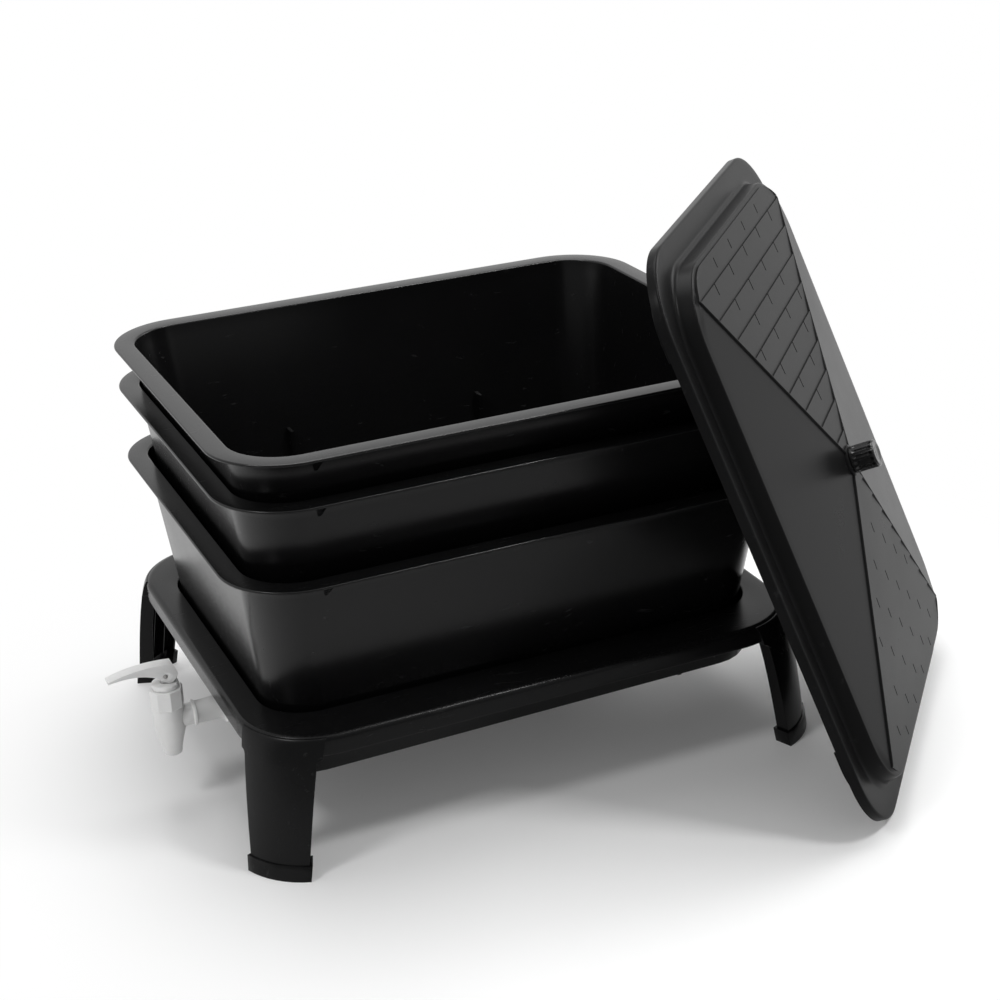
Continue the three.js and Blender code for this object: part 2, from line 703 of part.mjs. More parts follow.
// Lid
const lidHalf = { x: HALF * RIM_SHORT + LID_OVERHANG, y: HALF * RIM_LONG + LID_OVERHANG };
const crownHalf = { x: lidHalf.x - CROWN_INSET, y: lidHalf.y - CROWN_INSET };

// The lid's side as (inset, height) pairs from the lip up to the crown's edge
function lidProfile(thick) {
  const cove = CROWN_INSET - LID_BRIM_WIDTH;
  const climb = CROWN_HEIGHT - LID_BRIM_HEIGHT;
  return [
    [0, LID_LIP],
    [LID_BRIM_HEIGHT - LID_LIP, LID_BRIM_HEIGHT],
    [LID_BRIM_WIDTH, LID_BRIM_HEIGHT],
    [LID_BRIM_WIDTH + cove * HALF, LID_BRIM_HEIGHT + climb * HALF * HALF],
    [LID_BRIM_WIDTH + cove * (1 - HALF * HALF), LID_BRIM_HEIGHT + climb * (1 - HALF * HALF)],
    [CROWN_INSET, CROWN_HEIGHT],
  ].map(([inset, height]) => [inset + thick, height - thick]);
}

function lidRadiusAt(inset) {
  return LID_RADIUS + (CROWN_RADIUS - LID_RADIUS) * (inset / CROWN_INSET);
}

function lidBlock(thick, foot) {
  const rings = [[thick, foot], ...lidProfile(thick)];
  return loft(rings.map(([inset, height]) => loopAt(
    lidHalf.x - inset, lidHalf.y - inset, lidRadiusAt(inset), height,
  )));
}

// Height of the hipped top at a share of the way out from the apex
function hipHeight(share) {
  return APEX_HEIGHT - (APEX_HEIGHT - CROWN_HEIGHT) * share;
}

function hipBlock(drop) {
  const foot = CROWN_HEIGHT - drop - LID_WALL;
  const corners = [[1, 1], [-1, 1], [-1, -1], [1, -1]];
  const base = corners.map(([x, y]) => new THREE.Vector3(x * crownHalf.x, y * crownHalf.y, foot));
  const eave = base.map((point) => new THREE.Vector3(point.x, point.y, CROWN_HEIGHT - drop));
  const near = HALF * HIP_WIDTH / crownHalf.y;
  const peak = corners.map(([x, y]) => new THREE.Vector3(
    x * crownHalf.x * near, y * crownHalf.y * near, hipHeight(near) - drop,
  ));
  return loft([base, eave, peak]);
}

function roundedPrism(inset, low, high) {
  return loft([low, high].map((height) => loopAt(
    crownHalf.x - inset, crownHalf.y - inset, CROWN_RADIUS - inset, height,
  )));
}

// One course of the shingled end: raised at its outer edge, flush at its inner edge
function course(index, end) {
  const outer = 1 - index / COURSES;
  const inner = Math.max(1 - (index + 1) / COURSES, HALF * HIP_WIDTH / crownHalf.y);
  const ring = (lift) => [[1, outer], [-1, outer], [-1, inner], [1, inner]].map(([side, share]) => (
    new THREE.Vector3(
      side * crownHalf.x * share * -end,
      end * crownHalf.y * share,
      hipHeight(share) + (share === outer ? lift : Math.min(lift, 0) + GAP * HALF),
    )
  ));
  return loft([ring(-SINK).reverse(), ring(COURSE_STEP).reverse()]);
}

// A raised rib down one hip
function hipRib(signX, signY) {
  const low = new THREE.Vector3(signX * crownHalf.x, signY * crownHalf.y, CROWN_HEIGHT);
  const high = new THREE.Vector3(0, 0, APEX_HEIGHT);
  const along = high.clone().sub(low);
  const length = along.length();
  along.normalize();
  const across = new THREE.Vector3(0, 0, 1).cross(along).normalize();
  const out = along.clone().cross(across);
  const rib = new THREE.BoxGeometry(length, HIP_WIDTH, HIP_RISE + SINK);
  rib.translate(0, 0, HALF * (HIP_RISE - SINK));
  const middle = low.clone().add(high).multiplyScalar(HALF);
  rib.applyMatrix4(new THREE.Matrix4().makeBasis(along, across, out).setPosition(middle));
  return rib;
}

// A locating lug in one corner, under the brim, that drops inside the tray's rim
function cornerLug(signX, signY) {
  const half = { x: openHalf.y - LUG_CLEAR, y: openHalf.x - LUG_CLEAR };
  const radius = openRadius - LUG_CLEAR;
  const path = (inset) => {
    const points = [[half.x - inset, half.y - radius - LUG_STRAIGHT]];
    for (let step = 0; step <= CORNER_STEPS; step += 1) {
      const angle = QUARTER * (step / CORNER_STEPS);
      points.push([
        half.x - radius + (radius - inset) * Math.cos(angle),
        half.y - radius + (radius - inset) * Math.sin(angle),
      ]);
    }
    points.push([half.x - radius - LUG_STRAIGHT, half.y - inset]);
    return points;
  };
  const outline = [...path(0), ...path(LUG_WALL).reverse()];
  const turned = outline.map(([x, y]) => new THREE.Vector2(signX * x, signY * y));
  const height = LUG_DROP + CROWN_HEIGHT * (1 - HALF * HALF);
  const lug = new THREE.ExtrudeGeometry(new THREE.Shape(turned), {
    depth: height, bevelEnabled: false,
  });
  lug.translate(0, 0, -LUG_DROP);
  return lug;
}

function eachCorner(make) {
  return [-1, 1].flatMap((signX) => [-1, 1].map((signY) => make(signX, signY)));
}

function lidShell() {
  const courses = [-1, 1].flatMap((end) => (
    Array.from({ length: COURSES }, (_, index) => course(index, end))
  ));
  const top = joined([hipBlock(0), ...courses, ...eachCorner(hipRib)])
    .intersect(toSolid(roundedPrism(CROWN_BORDER, 0, APEX_HEIGHT + COURSE_STEP + HIP_RISE)));
  const outside = toSolid(lidBlock(0, 0)).add(top)
    .add(toSolid(upright(KNOB_SEAT_RADIUS, CROWN_HEIGHT, APEX_HEIGHT + KNOB_SEAT_RISE, 0, 0)));
  const inside = toSolid(lidBlock(LID_WALL, -SINK)).add(
    toSolid(hipBlock(LID_WALL)).intersect(
      toSolid(roundedPrism(LID_WALL + CROWN_BORDER, 0, APEX_HEIGHT)),
    ),
  );
  const bored = outside.subtract(inside).add(joined(eachCorner(cornerLug)));
  const bore = upright(SCREW_RADIUS + GAP, 0, APEX_HEIGHT + KNOB_HEIGHT, 0, 0, FINE_STEPS);
  return node('lid_shell', toGeometry(cut(bored, [bore])), BLACK_SATIN);
}

// Turned knob with grip flutes, seated on the apex
function lidKnob() {
  const low = APEX_HEIGHT + KNOB_SEAT_RISE + GAP;
  const round = KNOB_RADIUS - KNOB_NECK;
  const profile = [
    [0, low],
    [KNOB_RADIUS, low],
    [KNOB_NECK, low + round],
    [KNOB_NECK, low + HALF * KNOB_HEIGHT],
    [KNOB_RADIUS, low + HALF * KNOB_HEIGHT + round],
    [KNOB_RADIUS, low + KNOB_HEIGHT - round],
    [KNOB_RADIUS - HALF * round, low + KNOB_HEIGHT - HALF * HALF * round],
    [KNOB_NECK, low + KNOB_HEIGHT],
    [0, low + KNOB_HEIGHT],
  ];
  const turned = new THREE.LatheGeometry(
    profile.map(([radius, height]) => new THREE.Vector2(radius, height)),
    ROUND_STEPS,
  );
  turned.rotateX(QUARTER);
  const flutes = Array.from({ length: KNOB_FLUTES }, (_, index) => {
    const angle = TURN * (index / KNOB_FLUTES);
    const reach = KNOB_RADIUS + HALF * FLUTE_RADIUS;
    return upright(FLUTE_RADIUS, low + HALF * KNOB_HEIGHT, low + KNOB_HEIGHT + SINK,
      reach * Math.cos(angle), reach * Math.sin(angle), HOLE_SIDES);
  });
  const bore = upright(SCREW_RADIUS + GAP, low - SINK, low + SCREW_DEPTH + GAP, 0, 0, FINE_STEPS);
  return node('lid_knob', toGeometry(cut(toSolid(turned), [...flutes, bore])), BLACK_SATIN);
}

function lidKnobScrew() {
  const seat = APEX_HEIGHT - LID_WALL - GAP - KNOB_SEAT_RISE;
  const top = APEX_HEIGHT + KNOB_SEAT_RISE + SCREW_DEPTH;
  const screw = joined([
    upright(SCREW_RADIUS, seat - SCREW_HEAD_THICK, top, 0, 0, FINE_STEPS),
    upright(SCREW_HEAD, seat - SCREW_HEAD_THICK, seat, 0, 0, FINE_STEPS),
  ]);
  return node('lid_knob_screw', toGeometry(screw), STEEL);
}

// Where the lid stands: its lower edge is on the floor and the inside of its upper
// shingled face comes to rest, GAP away, on the front right corner of the top rim
function leaningLid() {
  const side = new THREE.Vector3(Math.cos(LID_TURN), Math.sin(LID_TURN), 0);
  const away = new THREE.Vector3(Math.sin(LID_TURN), -Math.cos(LID_TURN), 0);
  const up = away.clone().multiplyScalar(-Math.cos(LID_TILT));
  up.z = Math.sin(LID_TILT);
  const out = side.clone().cross(up);
  const fall = (APEX_HEIGHT - CROWN_HEIGHT) / crownHalf.y;
  const face = out.clone().addScaledVector(up, fall).normalize();
  const level = Math.hypot(face.x, face.y);
  const cornerReach = RIM_RADIUS * level + face.z * TOP_RIM_HEIGHT;
  const insideApex = up.clone().multiplyScalar(lidHalf.y)
    .addScaledVector(out, APEX_HEIGHT - LID_WALL);
  const reach = (cornerReach + GAP - face.dot(insideApex)) / level;
  const foot = new THREE.Vector3(
    HALF * RIM_LONG - RIM_RADIUS,
    -(HALF * RIM_SHORT - RIM_RADIUS),
    0,
  ).addScaledVector(away, reach).addScaledVector(side, LID_SIDESTEP);
  const lid = new THREE.Group();
  lid.add(lidShell(), lidKnob(), lidKnobScrew());
  lid.applyMatrix4(new THREE.Matrix4().makeBasis(side, up, out)
    .setPosition(foot.addScaledVector(up, lidHalf.y)));
  return lid;
}

const wormery = new THREE.Group();
wormery.add(stand(), ...LEGS.map(footCap), collectorBasin());
wormery.add(tray('tray_bottom', BOTTOM_RIM_HEIGHT, MIDDLE_RIM_HEIGHT - BOTTOM_RIM_HEIGHT));
wormery.add(tray('tray_middle', MIDDLE_RIM_HEIGHT, TOP_RIM_HEIGHT - MIDDLE_RIM_HEIGHT));
wormery.add(tray('tray_top', TOP_RIM_HEIGHT, TOP_RIM_HEIGHT - MIDDLE_RIM_HEIGHT));
wormery.add(leaningLid());
wormery.add(
  tapBody(),
  washer('tap_seal_washer', flangeBack + GAP, bossFace - GAP),
  washer('tap_nut_washer', bossBack + GAP, washerFace),
  backNut(),
  tapBonnet(),
  tapStem(),
  plungerSeal(),
  pistonSeal(),
  tapLever(),
  tapPin(),
);

// The origin lies under the middle of the whole object as it stands
wormery.updateMatrixWorld(true);
const middle = new THREE.Box3().setFromObject(wormery, true).getCenter(new THREE.Vector3());
wormery.position.set(-middle.x, -middle.y, 0);

export default wormery;
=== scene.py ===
"""Finished looks of a wormery: three nesting trays, a legged stand with a tap, and a hipped lid."""

import math

import bmesh
import bpy
import numpy as np
from bpy.props import FloatProperty, FloatVectorProperty, IntProperty, PointerProperty
from mathutils import Matrix, Vector


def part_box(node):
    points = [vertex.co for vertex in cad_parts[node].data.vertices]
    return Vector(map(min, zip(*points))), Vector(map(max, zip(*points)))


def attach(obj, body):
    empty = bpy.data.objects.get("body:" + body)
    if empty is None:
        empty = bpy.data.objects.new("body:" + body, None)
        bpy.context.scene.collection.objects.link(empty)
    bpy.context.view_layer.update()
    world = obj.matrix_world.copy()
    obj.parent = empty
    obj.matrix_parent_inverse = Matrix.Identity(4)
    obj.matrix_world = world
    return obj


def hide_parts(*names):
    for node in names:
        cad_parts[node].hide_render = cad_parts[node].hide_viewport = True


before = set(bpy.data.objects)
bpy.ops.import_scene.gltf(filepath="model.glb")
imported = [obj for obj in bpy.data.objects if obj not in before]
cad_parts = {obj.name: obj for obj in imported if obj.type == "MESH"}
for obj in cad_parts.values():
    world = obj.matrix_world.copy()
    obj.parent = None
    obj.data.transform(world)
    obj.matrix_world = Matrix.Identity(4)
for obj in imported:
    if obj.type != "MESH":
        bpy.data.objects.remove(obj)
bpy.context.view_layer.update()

bl_info = {
    "name": "Wormery",
    "version": (1, 0, 0),
    "blender": (4, 5, 0),
    "location": "3D View > Sidebar > Wormery",
    "description": "Builds the trays, stand, lid and tap of a garden wormery",
    "category": "Object",
}

MM = 0.001
TURN = 2 * math.pi
QUARTER = TURN / 4
# Points nearer than this are merged
WELD = 2e-6
# How deep joined bodies run into one another
SINK = 1.2 * MM
CORNER_STEPS = 20
SIDE_STEPS = 10
LID_SIDE_STEPS = 24
ROUND_STEPS = 72
CELL_STEPS = 48
LEG_STEPS = 33
HIP_ROWS = 40
COURSE_COLUMNS = 61
KNOB_STEPS = 144
FLOOR_REACH = 60.0

# Each tray's node, its body, and the height in mm of the plates inside it that carry the next tray
TRAYS = (
    ("tray_bottom", "bottom_tray_body", 77),
    ("tray_middle", "middle_tray_body", 43),
    ("tray_top", "top_tray_body", 43),
)
# For each side of a tray: the axis it faces along, the axis it runs along, and its turn
SIDES = ((0, 1, 0.0), (1, 0, QUARTER), (0, 1, 2 * QUARTER), (1, 0, 3 * QUARTER))
CORNERS = ((1, 1), (-1, 1), (-1, -1), (1, -1))
LEG_TURNS = tuple(QUARTER * (corner + 0.5) for corner in range(4))
FLOOR_ROWS, FLOOR_COLUMNS = 5, 8
# Short slots in each course of shingles, from the eave inwards
TICK_COUNTS = (4, 5, 4, 3, 4, 3, 2, 1, 0, 0)


# Places taken from the fixed frame


def node_points(name):
    """The corners of a CAD node as an array, one row each, in metres."""
    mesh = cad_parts[name].data
    points = np.empty(len(mesh.vertices) * 3, np.float32)
    mesh.vertices.foreach_get("co", points)
    return points.reshape(-1, 3).astype(float)


def as_arrays(box):
    """The low and the high corner of a box, as arrays."""
    return [np.array(corner) for corner in box]


RIM_LOW, RIM_HIGH = as_arrays(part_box("tray_top"))
MIDDLE = (RIM_LOW + RIM_HIGH) / 2
RIM_HALF = (RIM_HIGH - RIM_LOW) / 2
TRAY_HEIGHT = RIM_HIGH[2] - RIM_LOW[2]
PLATE_PAST_RIM = np.array([-3, 5]) * MM
PLATE_HALF = RIM_HALF[:2] + PLATE_PAST_RIM
STAND_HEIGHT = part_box("stand")[1].z
LID_TILT = math.radians(67.5)
LID_TURN = math.radians(47.9)
LUG_DROP = 11 * MM
BRIM_RADIUS = 71 * MM
CROWN_RADIUS = 66 * MM


def lid_axes():
    """Rows: the lid's short side, its long side and its outward way.

    The tilt is the long side's rise, and the turn is the short side's heading.
    """
    side = np.array([math.cos(LID_TURN), math.sin(LID_TURN), 0])
    away = np.array([math.sin(LID_TURN), -math.cos(LID_TURN), 0])
    up = -math.cos(LID_TILT) * away + np.array([0, 0, math.sin(LID_TILT)])
    return np.array([side, up, np.cross(side, up)])


LID_AXES = lid_axes()
LID_SPAN = node_points("lid_shell") @ LID_AXES.T
LID_LOW, LID_HIGH = LID_SPAN.min(0), LID_SPAN.max(0)
LID_HALF = (LID_HIGH - LID_LOW)[:2] / 2
LID_ORIGIN = np.array([*((LID_HIGH + LID_LOW)[:2] / 2), LID_LOW[2] + LUG_DROP]) @ LID_AXES
SPOUT_DROP = 37 * MM
TAP_LOW, TAP_HIGH = as_arrays(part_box("tap_body"))
BARREL = np.mean(as_arrays(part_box("tap_bonnet")), 0)
PIPE_HEIGHT = TAP_LOW[2] + SPOUT_DROP
PIPE_MEETS_BARREL = np.array([BARREL[0], BARREL[1], PIPE_HEIGHT])


# Settings that a user changes


def length(name, millimetres, description):
    """A length setting, given in millimetres and kept in metres."""
    return FloatProperty(
        name=name, description=description, default=millimetres * MM, min=0.0,
        unit="LENGTH", subtype="DISTANCE", precision=4,
    )


def angle(name, radians, description):
    """An angle setting."""
    return FloatProperty(
        name=name, description=description, default=radians, unit="ROTATION", subtype="ANGLE",
    )


def colour(name, value, description):
    """A colour setting, in linear light."""
    return FloatVectorProperty(
        name=name, description=description, default=value, size=3, min=0, max=1, subtype="COLOR",
    )


class TraySettings(bpy.types.PropertyGroup):
    rim_radius: length("Rim corner radius", 74, "Outer corner radius of the flat rim")
    rim_width: length("Rim width", 21, "Width of the flat rim round the opening")
    rim_thick: length("Rim thickness", 3, "Thickness of the rim, whose edge is a full round")
    wall: length("Wall", 2.6, "Thickness of the tray's wall")
    floor: length("Floor", 3, "Thickness of the tray's floor")
    long_draft: length("Draft along", 17.5, "How far each end wall leans in towards the floor")
    short_draft: length("Draft across", 35.5, "How far each long wall leans in towards the floor")
    foot_radius: length("Foot corner radius", 48, "Corner radius of the wall at the floor")
    hole_radius: length("Hole radius", 4, "Radius of each drain hole in the floor")
    hole_pitch: length("Hole pitch", 56, "Distance between drain holes")
    colour: colour("Tray colour", (0.0040, 0.0040, 0.0042), "Black of the trays")


class StandSettings(bpy.types.PropertyGroup):
    radius: length("Corner radius", 78, "Outer corner radius of the top plate and legs")
    wall: length("Wall", 3, "Thickness of the plate, skirt and legs")
    skirt: length("Skirt", 20, "Height of the skirt round the plate")
    edge: length("Edge rounding", 6, "Rounding between plate and skirt")
    leg_return: length("Leg return", 14, "Depth of each leg's turned-in edges")
    leg_out_skirt: length("Leg splay at skirt", 8, "How far out along the diagonal a leg leaves the skirt")
    leg_out_floor: length("Leg splay at floor", 27, "How far out along the diagonal a leg meets the floor")
    leg_wide: angle("Leg width at plate", 0.52, "Half angle of a leg's arc at the plate")
    leg_narrow: angle("Leg width at floor", 0.39, "Half angle of a leg's arc at the floor")
    leg_fillet: length("Leg fillet", 5, "Rounding between a leg's edges and the skirt's foot")
    rib: length("Leg rib", 1.8, "Thickness of the ribs inside each leg")
    colour: colour("Stand colour", (0.0045, 0.0045, 0.0047), "Black of the stand and basin")


class LidSettings(bpy.types.PropertyGroup):
    wall: length("Wall", 3, "Thickness of the lid")
    brim: length("Brim", 21, "Width of the flat brim")
    brim_height: length("Brim height", 9.5, "Height of the brim above the lid's foot")
    crown_inset: length("Crown inset", 29, "Distance from the lid's edge to the crown's edge")
    crown_height: length("Crown height", 26, "Height of the crown's edge")
    apex_height: length("Apex height", 50, "Height of the hipped top's apex")
    courses: IntProperty(
        name="Courses", description="Shingle courses on each short end", default=10, min=1, max=30,
    )
    course_step: length("Course step", 1.3, "How far a course stands proud at its outer edge")
    rib_width: length("Rib width", 3.6, "Width of the rib along each hip")
    rib_rise: length("Rib rise", 1.7, "Height of the rib along each hip")
    tick_width: length("Tick width", 1.2, "Width of the short slots between shingles")
    tick_depth: length("Tick depth", 0.8, "Depth of the short slots between shingles")
    tick_pitch: length("Tick pitch", 64, "Distance between the slots of a course")
    colour: colour("Lid colour", (0.0080, 0.0080, 0.0082), "Black of the lid, a little paler")


class KnobSettings(bpy.types.PropertyGroup):
    radius: length("Knob radius", 13.5, "Radius of the knob")
    height: length("Knob height", 25, "Height of the knob above its seat")
    flute: length("Flute depth", 0.8, "Depth of the grip flutes")
    flutes: IntProperty(
        name="Flutes", description="Grip flutes round the knob", default=14, min=3, max=40,
    )
    colour: colour("Knob colour", (0.0042, 0.0042, 0.0044), "Black of the knob")


class TapSettings(bpy.types.PropertyGroup):
    pipe_radius: length("Pipe radius", 11, "Radius of the level pipe")
    barrel_radius: length("Barrel radius", 15, "Radius of the upright barrel")
    spout_radius: length("Spout radius", 9, "Radius at the spout's open end")
    spout_bore: length("Spout bore", 6.4, "Bore of the spout")
    head_radius: length("Head radius", 16.5, "Radius of the eight-sided head over its corners")
    colour: colour("Tap colour", (0.87, 0.87, 0.855), "White of the tap")
    seal_colour: colour("Seal colour", (0.045, 0.045, 0.047), "Dark grey of the rubber seals")


class StageSettings(bpy.types.PropertyGroup):
    camera_place: FloatVectorProperty(
        name="Camera place", description="Where the camera stands",
        default=(-0.7429, -1.5981, 1.0077), subtype="TRANSLATION", unit="LENGTH", precision=4,
    )
    camera_turn: FloatVectorProperty(
        name="Camera turn", description="Yaw, pitch and roll of the view",
        default=(0.406, 0.404, -0.045), subtype="EULER", unit="ROTATION",
    )
    lens: FloatProperty(
        name="Lens", description="Focal length for a 36 mm sensor",
        default=69.256, min=1, unit="CAMERA", subtype="DISTANCE_CAMERA",
    )
    floor_colour: colour("Floor colour", (0.94, 0.94, 0.94), "Pale grey of the plain floor")
    lamp_level: FloatProperty(
        name="Lamp level", description="Strength of the soft lamps as a share of the usual",
        default=1.0, min=0,
    )


# Grids of points and how they become a mesh


def grid_faces(rows, columns, wrap_rows, wrap_columns):
    """Quads between neighbouring points of a rows by columns grid, joined end to end where it wraps."""
    row = np.arange(rows if wrap_rows else rows - 1)[:, None]
    column = np.arange(columns if wrap_columns else columns - 1)[None, :]
    next_row = (row + 1) % rows
    next_column = (column + 1) % columns
    corners = [
        row * columns + column,
        row * columns + next_column,
        next_row * columns + next_column,
        next_row * columns + column,
    ]
    return np.stack(np.broadcast_arrays(*corners), -1).reshape(-1, 4)


def put_skin(whole, points, wrap_rows=False, wrap_columns=False):
    """Adds one closed body, a grid of points, to the mesh being built."""
    faces = grid_faces(points.shape[0], points.shape[1], wrap_rows, wrap_columns)
    put_faces(whole, points.reshape(-1, 3), faces)


def put_faces(whole, points, faces):
    """Adds points and quads to the mesh being built, merges meeting corners and turns faces outwards."""
    mesh = bpy.data.meshes.new("part")
    mesh.vertices.add(len(points))
    mesh.vertices.foreach_set("co", np.ascontiguousarray(points, float).ravel())
    mesh.loops.add(faces.size)
    mesh.loops.foreach_set("vertex_index", faces.ravel())
    mesh.polygons.add(len(faces))
    mesh.polygons.foreach_set("loop_start", np.arange(0, faces.size, 4))
    mesh.update(calc_edges=True)
    part = bmesh.new()
    part.from_mesh(mesh)
    bmesh.ops.remove_doubles(part, verts=part.verts, dist=WELD)
    bmesh.ops.dissolve_degenerate(part, edges=part.edges, dist=WELD)
    bmesh.ops.recalc_face_normals(part, faces=part.faces)
    part.to_mesh(mesh)
    part.free()
    whole.from_mesh(mesh)
    bpy.data.meshes.remove(mesh)


def bring_in(whole, name, body, node, material, sharp=35):
    """Makes the built mesh a piece of the wormery that rides on a body and stands for a CAD node."""
    mesh = bpy.data.meshes.new(name)
    whole.to_mesh(mesh)
    whole.free()
    mesh.shade_smooth()
    mesh.set_sharp_from_angle(angle=math.radians(sharp))
    mesh.materials.append(material)
    piece = bpy.data.objects.new(name, mesh)
    bpy.context.scene.collection.objects.link(piece)
    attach(piece, body)
    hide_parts(node)
    return piece


def soften(piece, width, sharper_than=40):
    """Rounds the piece's edges that turn by more than an angle in degrees, by a width in metres."""
    bevel = piece.modifiers.new("softened edges", "BEVEL")
    bevel.width = width
    bevel.segments = 2
    bevel.limit_method = "ANGLE"
    bevel.angle_limit = math.radians(sharper_than)
    bevel.harden_normals = True
    bevel.use_clamp_overlap = True


def carry_over(node, material, width=0.3 * MM):
    """Gives a CAD node, as it is, its material, merged corners, rounded edges and smooth shading."""
    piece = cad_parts[node]
    piece.data.materials.clear()
    piece.data.materials.append(material)
    piece.data.shade_smooth()
    weld = piece.modifiers.new("merged corners", "WELD")
    weld.merge_threshold = 0.01 * MM
    soften(piece, width, sharper_than=28)


def round_loop(side_steps=SIDE_STEPS):
    """Round a rounded rectangle: each point's shares of the way to the sides, and its arc's heading.

    Along a corner the shares stay at plus or minus one and the heading turns a quarter. Along a side the
    heading stays and one share runs from one to minus one.
    """
    arc = np.arange(CORNER_STEPS) / CORNER_STEPS
    run = np.arange(side_steps) / side_steps
    heading, share_x, share_y = [], [], []
    for corner, (sign_x, sign_y) in enumerate(CORNERS):
        next_x, next_y = CORNERS[(corner + 1) % 4]
        heading += [(corner + arc) * QUARTER, np.full(side_steps, (corner + 1) * QUARTER)]
        share_x += [np.full(CORNER_STEPS, sign_x), sign_x + (next_x - sign_x) * run]
        share_y += [np.full(CORNER_STEPS, sign_y), sign_y + (next_y - sign_y) * run]
    return np.concatenate(share_x), np.concatenate(share_y), np.concatenate(heading)


def rings(half_x, half_y, radius, height, loop=None):
    """Rounded rectangles, one row of points each.

    A point is its share times (half - radius) plus the radius times the heading's cosine or sine.
    """
    share_x, share_y, heading = loop or round_loop()
    sizes = np.broadcast_arrays(half_x, half_y, radius, height)
    half_x, half_y, radius, height = (np.asarray(size, float)[:, None] for size in sizes)
    x = share_x * (half_x - radius) + radius * np.cos(heading)
    y = share_y * (half_y - radius) + radius * np.sin(heading)
    return np.stack([x, y, height + 0 * x], -1)


def arc_rows(centre_out, centre_up, radius, start, end, steps):
    """Points of an arc in (out, up): centre plus radius times the cosine and sine of an angle in degrees."""
    turn = np.radians(np.linspace(start, end, steps))
    return np.stack([centre_out + radius * np.cos(turn), centre_up + radius * np.sin(turn)], -1)


def levelled(rows):
    """A grid from pairs of a flat outline in (x, y) and the height at which it lies."""
    return np.stack([np.column_stack([flat, np.full(len(flat), height)]) for flat, height in rows])


def ends_closed(around):
    """A tube's grid with both ends closed: each end column is joined to the one across by their mean."""
    first = (around[:, :1] + around[::-1, :1]) / 2
    last = (around[:, -1:] + around[::-1, -1:]) / 2
    return np.concatenate([first, around, last], 1)


def prism(outline, thick, chamfer):
    """A flat plate from an outline in (out, up).

    Its two faces are the outline drawn in by the chamfer and closed on its middle.
    """
    outline = np.asarray(outline, float)
    middle = outline.mean(0)
    away = outline - middle
    drawn = middle + away * (1 - chamfer / np.linalg.norm(away, axis=1, keepdims=True))
    flat = np.stack([middle + 0 * outline, drawn, outline, outline, drawn, middle + 0 * outline])
    half, edge = thick / 2, thick / 2 - chamfer
    across = np.array([-half, -half, -edge, edge, half, half])
    return np.stack([flat[..., 0], np.broadcast_to(across[:, None], flat.shape[:2]), flat[..., 1]], -1)


def turned(points, turn):
    """Points turned about the upright axis."""
    cos, sin = math.cos(turn), math.sin(turn)
    return points @ np.array([[cos, sin, 0], [-sin, cos, 0], [0, 0, 1]])


def revolved(profile, steps=ROUND_STEPS, sides=0):
    """A profile in (radius, height) carried round the upright axis.

    With sides, the radius follows a polygon instead of a circle: it is divided by the cosine of the angle
    from the nearest side's middle.
    """
    profile = np.asarray(profile, float)
    turn = np.arange(steps) / steps * TURN
    reach = np.ones(steps)
    if sides:
        from_middle = (turn + TURN / sides / 2) % (TURN / sides) - TURN / sides / 2
        reach = math.cos(TURN / sides / 2) / np.cos(from_middle)
    across = profile[:, :1] * reach
    heights = np.repeat(profile[:, 1:], steps, 1)
    return np.stack([across * np.cos(turn), across * np.sin(turn), heights], -1)


# Trays


def tray_skin(tray):
    """The tray's wall and rim as one closed ring section, and the function of its wall.

    Each row is a rounded rectangle. From the foot the wall leans out evenly to the rim: half size and
    corner radius are a share of the way from the foot's to the rim's. The rim's edge, its inner edge and
    both corners at the floor are circular arcs.
    """
    open_half = RIM_HALF[:2] - tray.rim_width
    open_radius = tray.rim_radius - tray.rim_width
    top_half = open_half + tray.wall
    foot_half = top_half - np.array([tray.long_draft, tray.short_draft])
    under = TRAY_HEIGHT - tray.rim_thick
    edge, half_thick = tray.floor, tray.rim_thick / 2
    fillet, inner_edge = 2.5 * MM, 2.2 * MM

    def wall_at(share, inset=0.0):
        half = foot_half + (top_half - foot_half) * share
        radius = tray.foot_radius + (open_radius + tray.wall - tray.foot_radius) * share
        return [*(half - inset), radius - inset]

    def on_rim(out, height):
        return [*(open_half + out), open_radius + out, height]

    rows = [[*wall_at(0, inset), height] for inset, height in arc_rows(edge, edge, edge, 270, 180, 6)]
    for height in np.linspace(edge, under - fillet, 14)[1:]:
        rows.append([*wall_at((height - edge) / (under - edge)), height])
    for out, up in arc_rows(fillet, -fillet, fillet, 180, 90, 6)[1:]:
        rows.append([*wall_at(1, -out), under + up])
    rim_round = arc_rows(tray.rim_width - half_thick, TRAY_HEIGHT - half_thick, half_thick, -90, 90, 11)
    inner_round = arc_rows(inner_edge, TRAY_HEIGHT - inner_edge, inner_edge, 90, 180, 8)
    rows += [on_rim(out, height) for out, height in (*rim_round, *inner_round)]
    low_inner = np.array([*wall_at(0, tray.wall), edge * 2])
    high_inner = np.array(on_rim(0, TRAY_HEIGHT - inner_edge))
    rows += [list(high_inner + (low_inner - high_inner) * share) for share in np.linspace(0, 1, 14)[1:]]
    for out, up in arc_rows(0, 0, edge, 0, -90, 6)[1:]:
        rows.append([*wall_at(0, tray.wall + edge - out), tray.floor + edge + up])
    return rings(*np.array(rows).T), wall_at


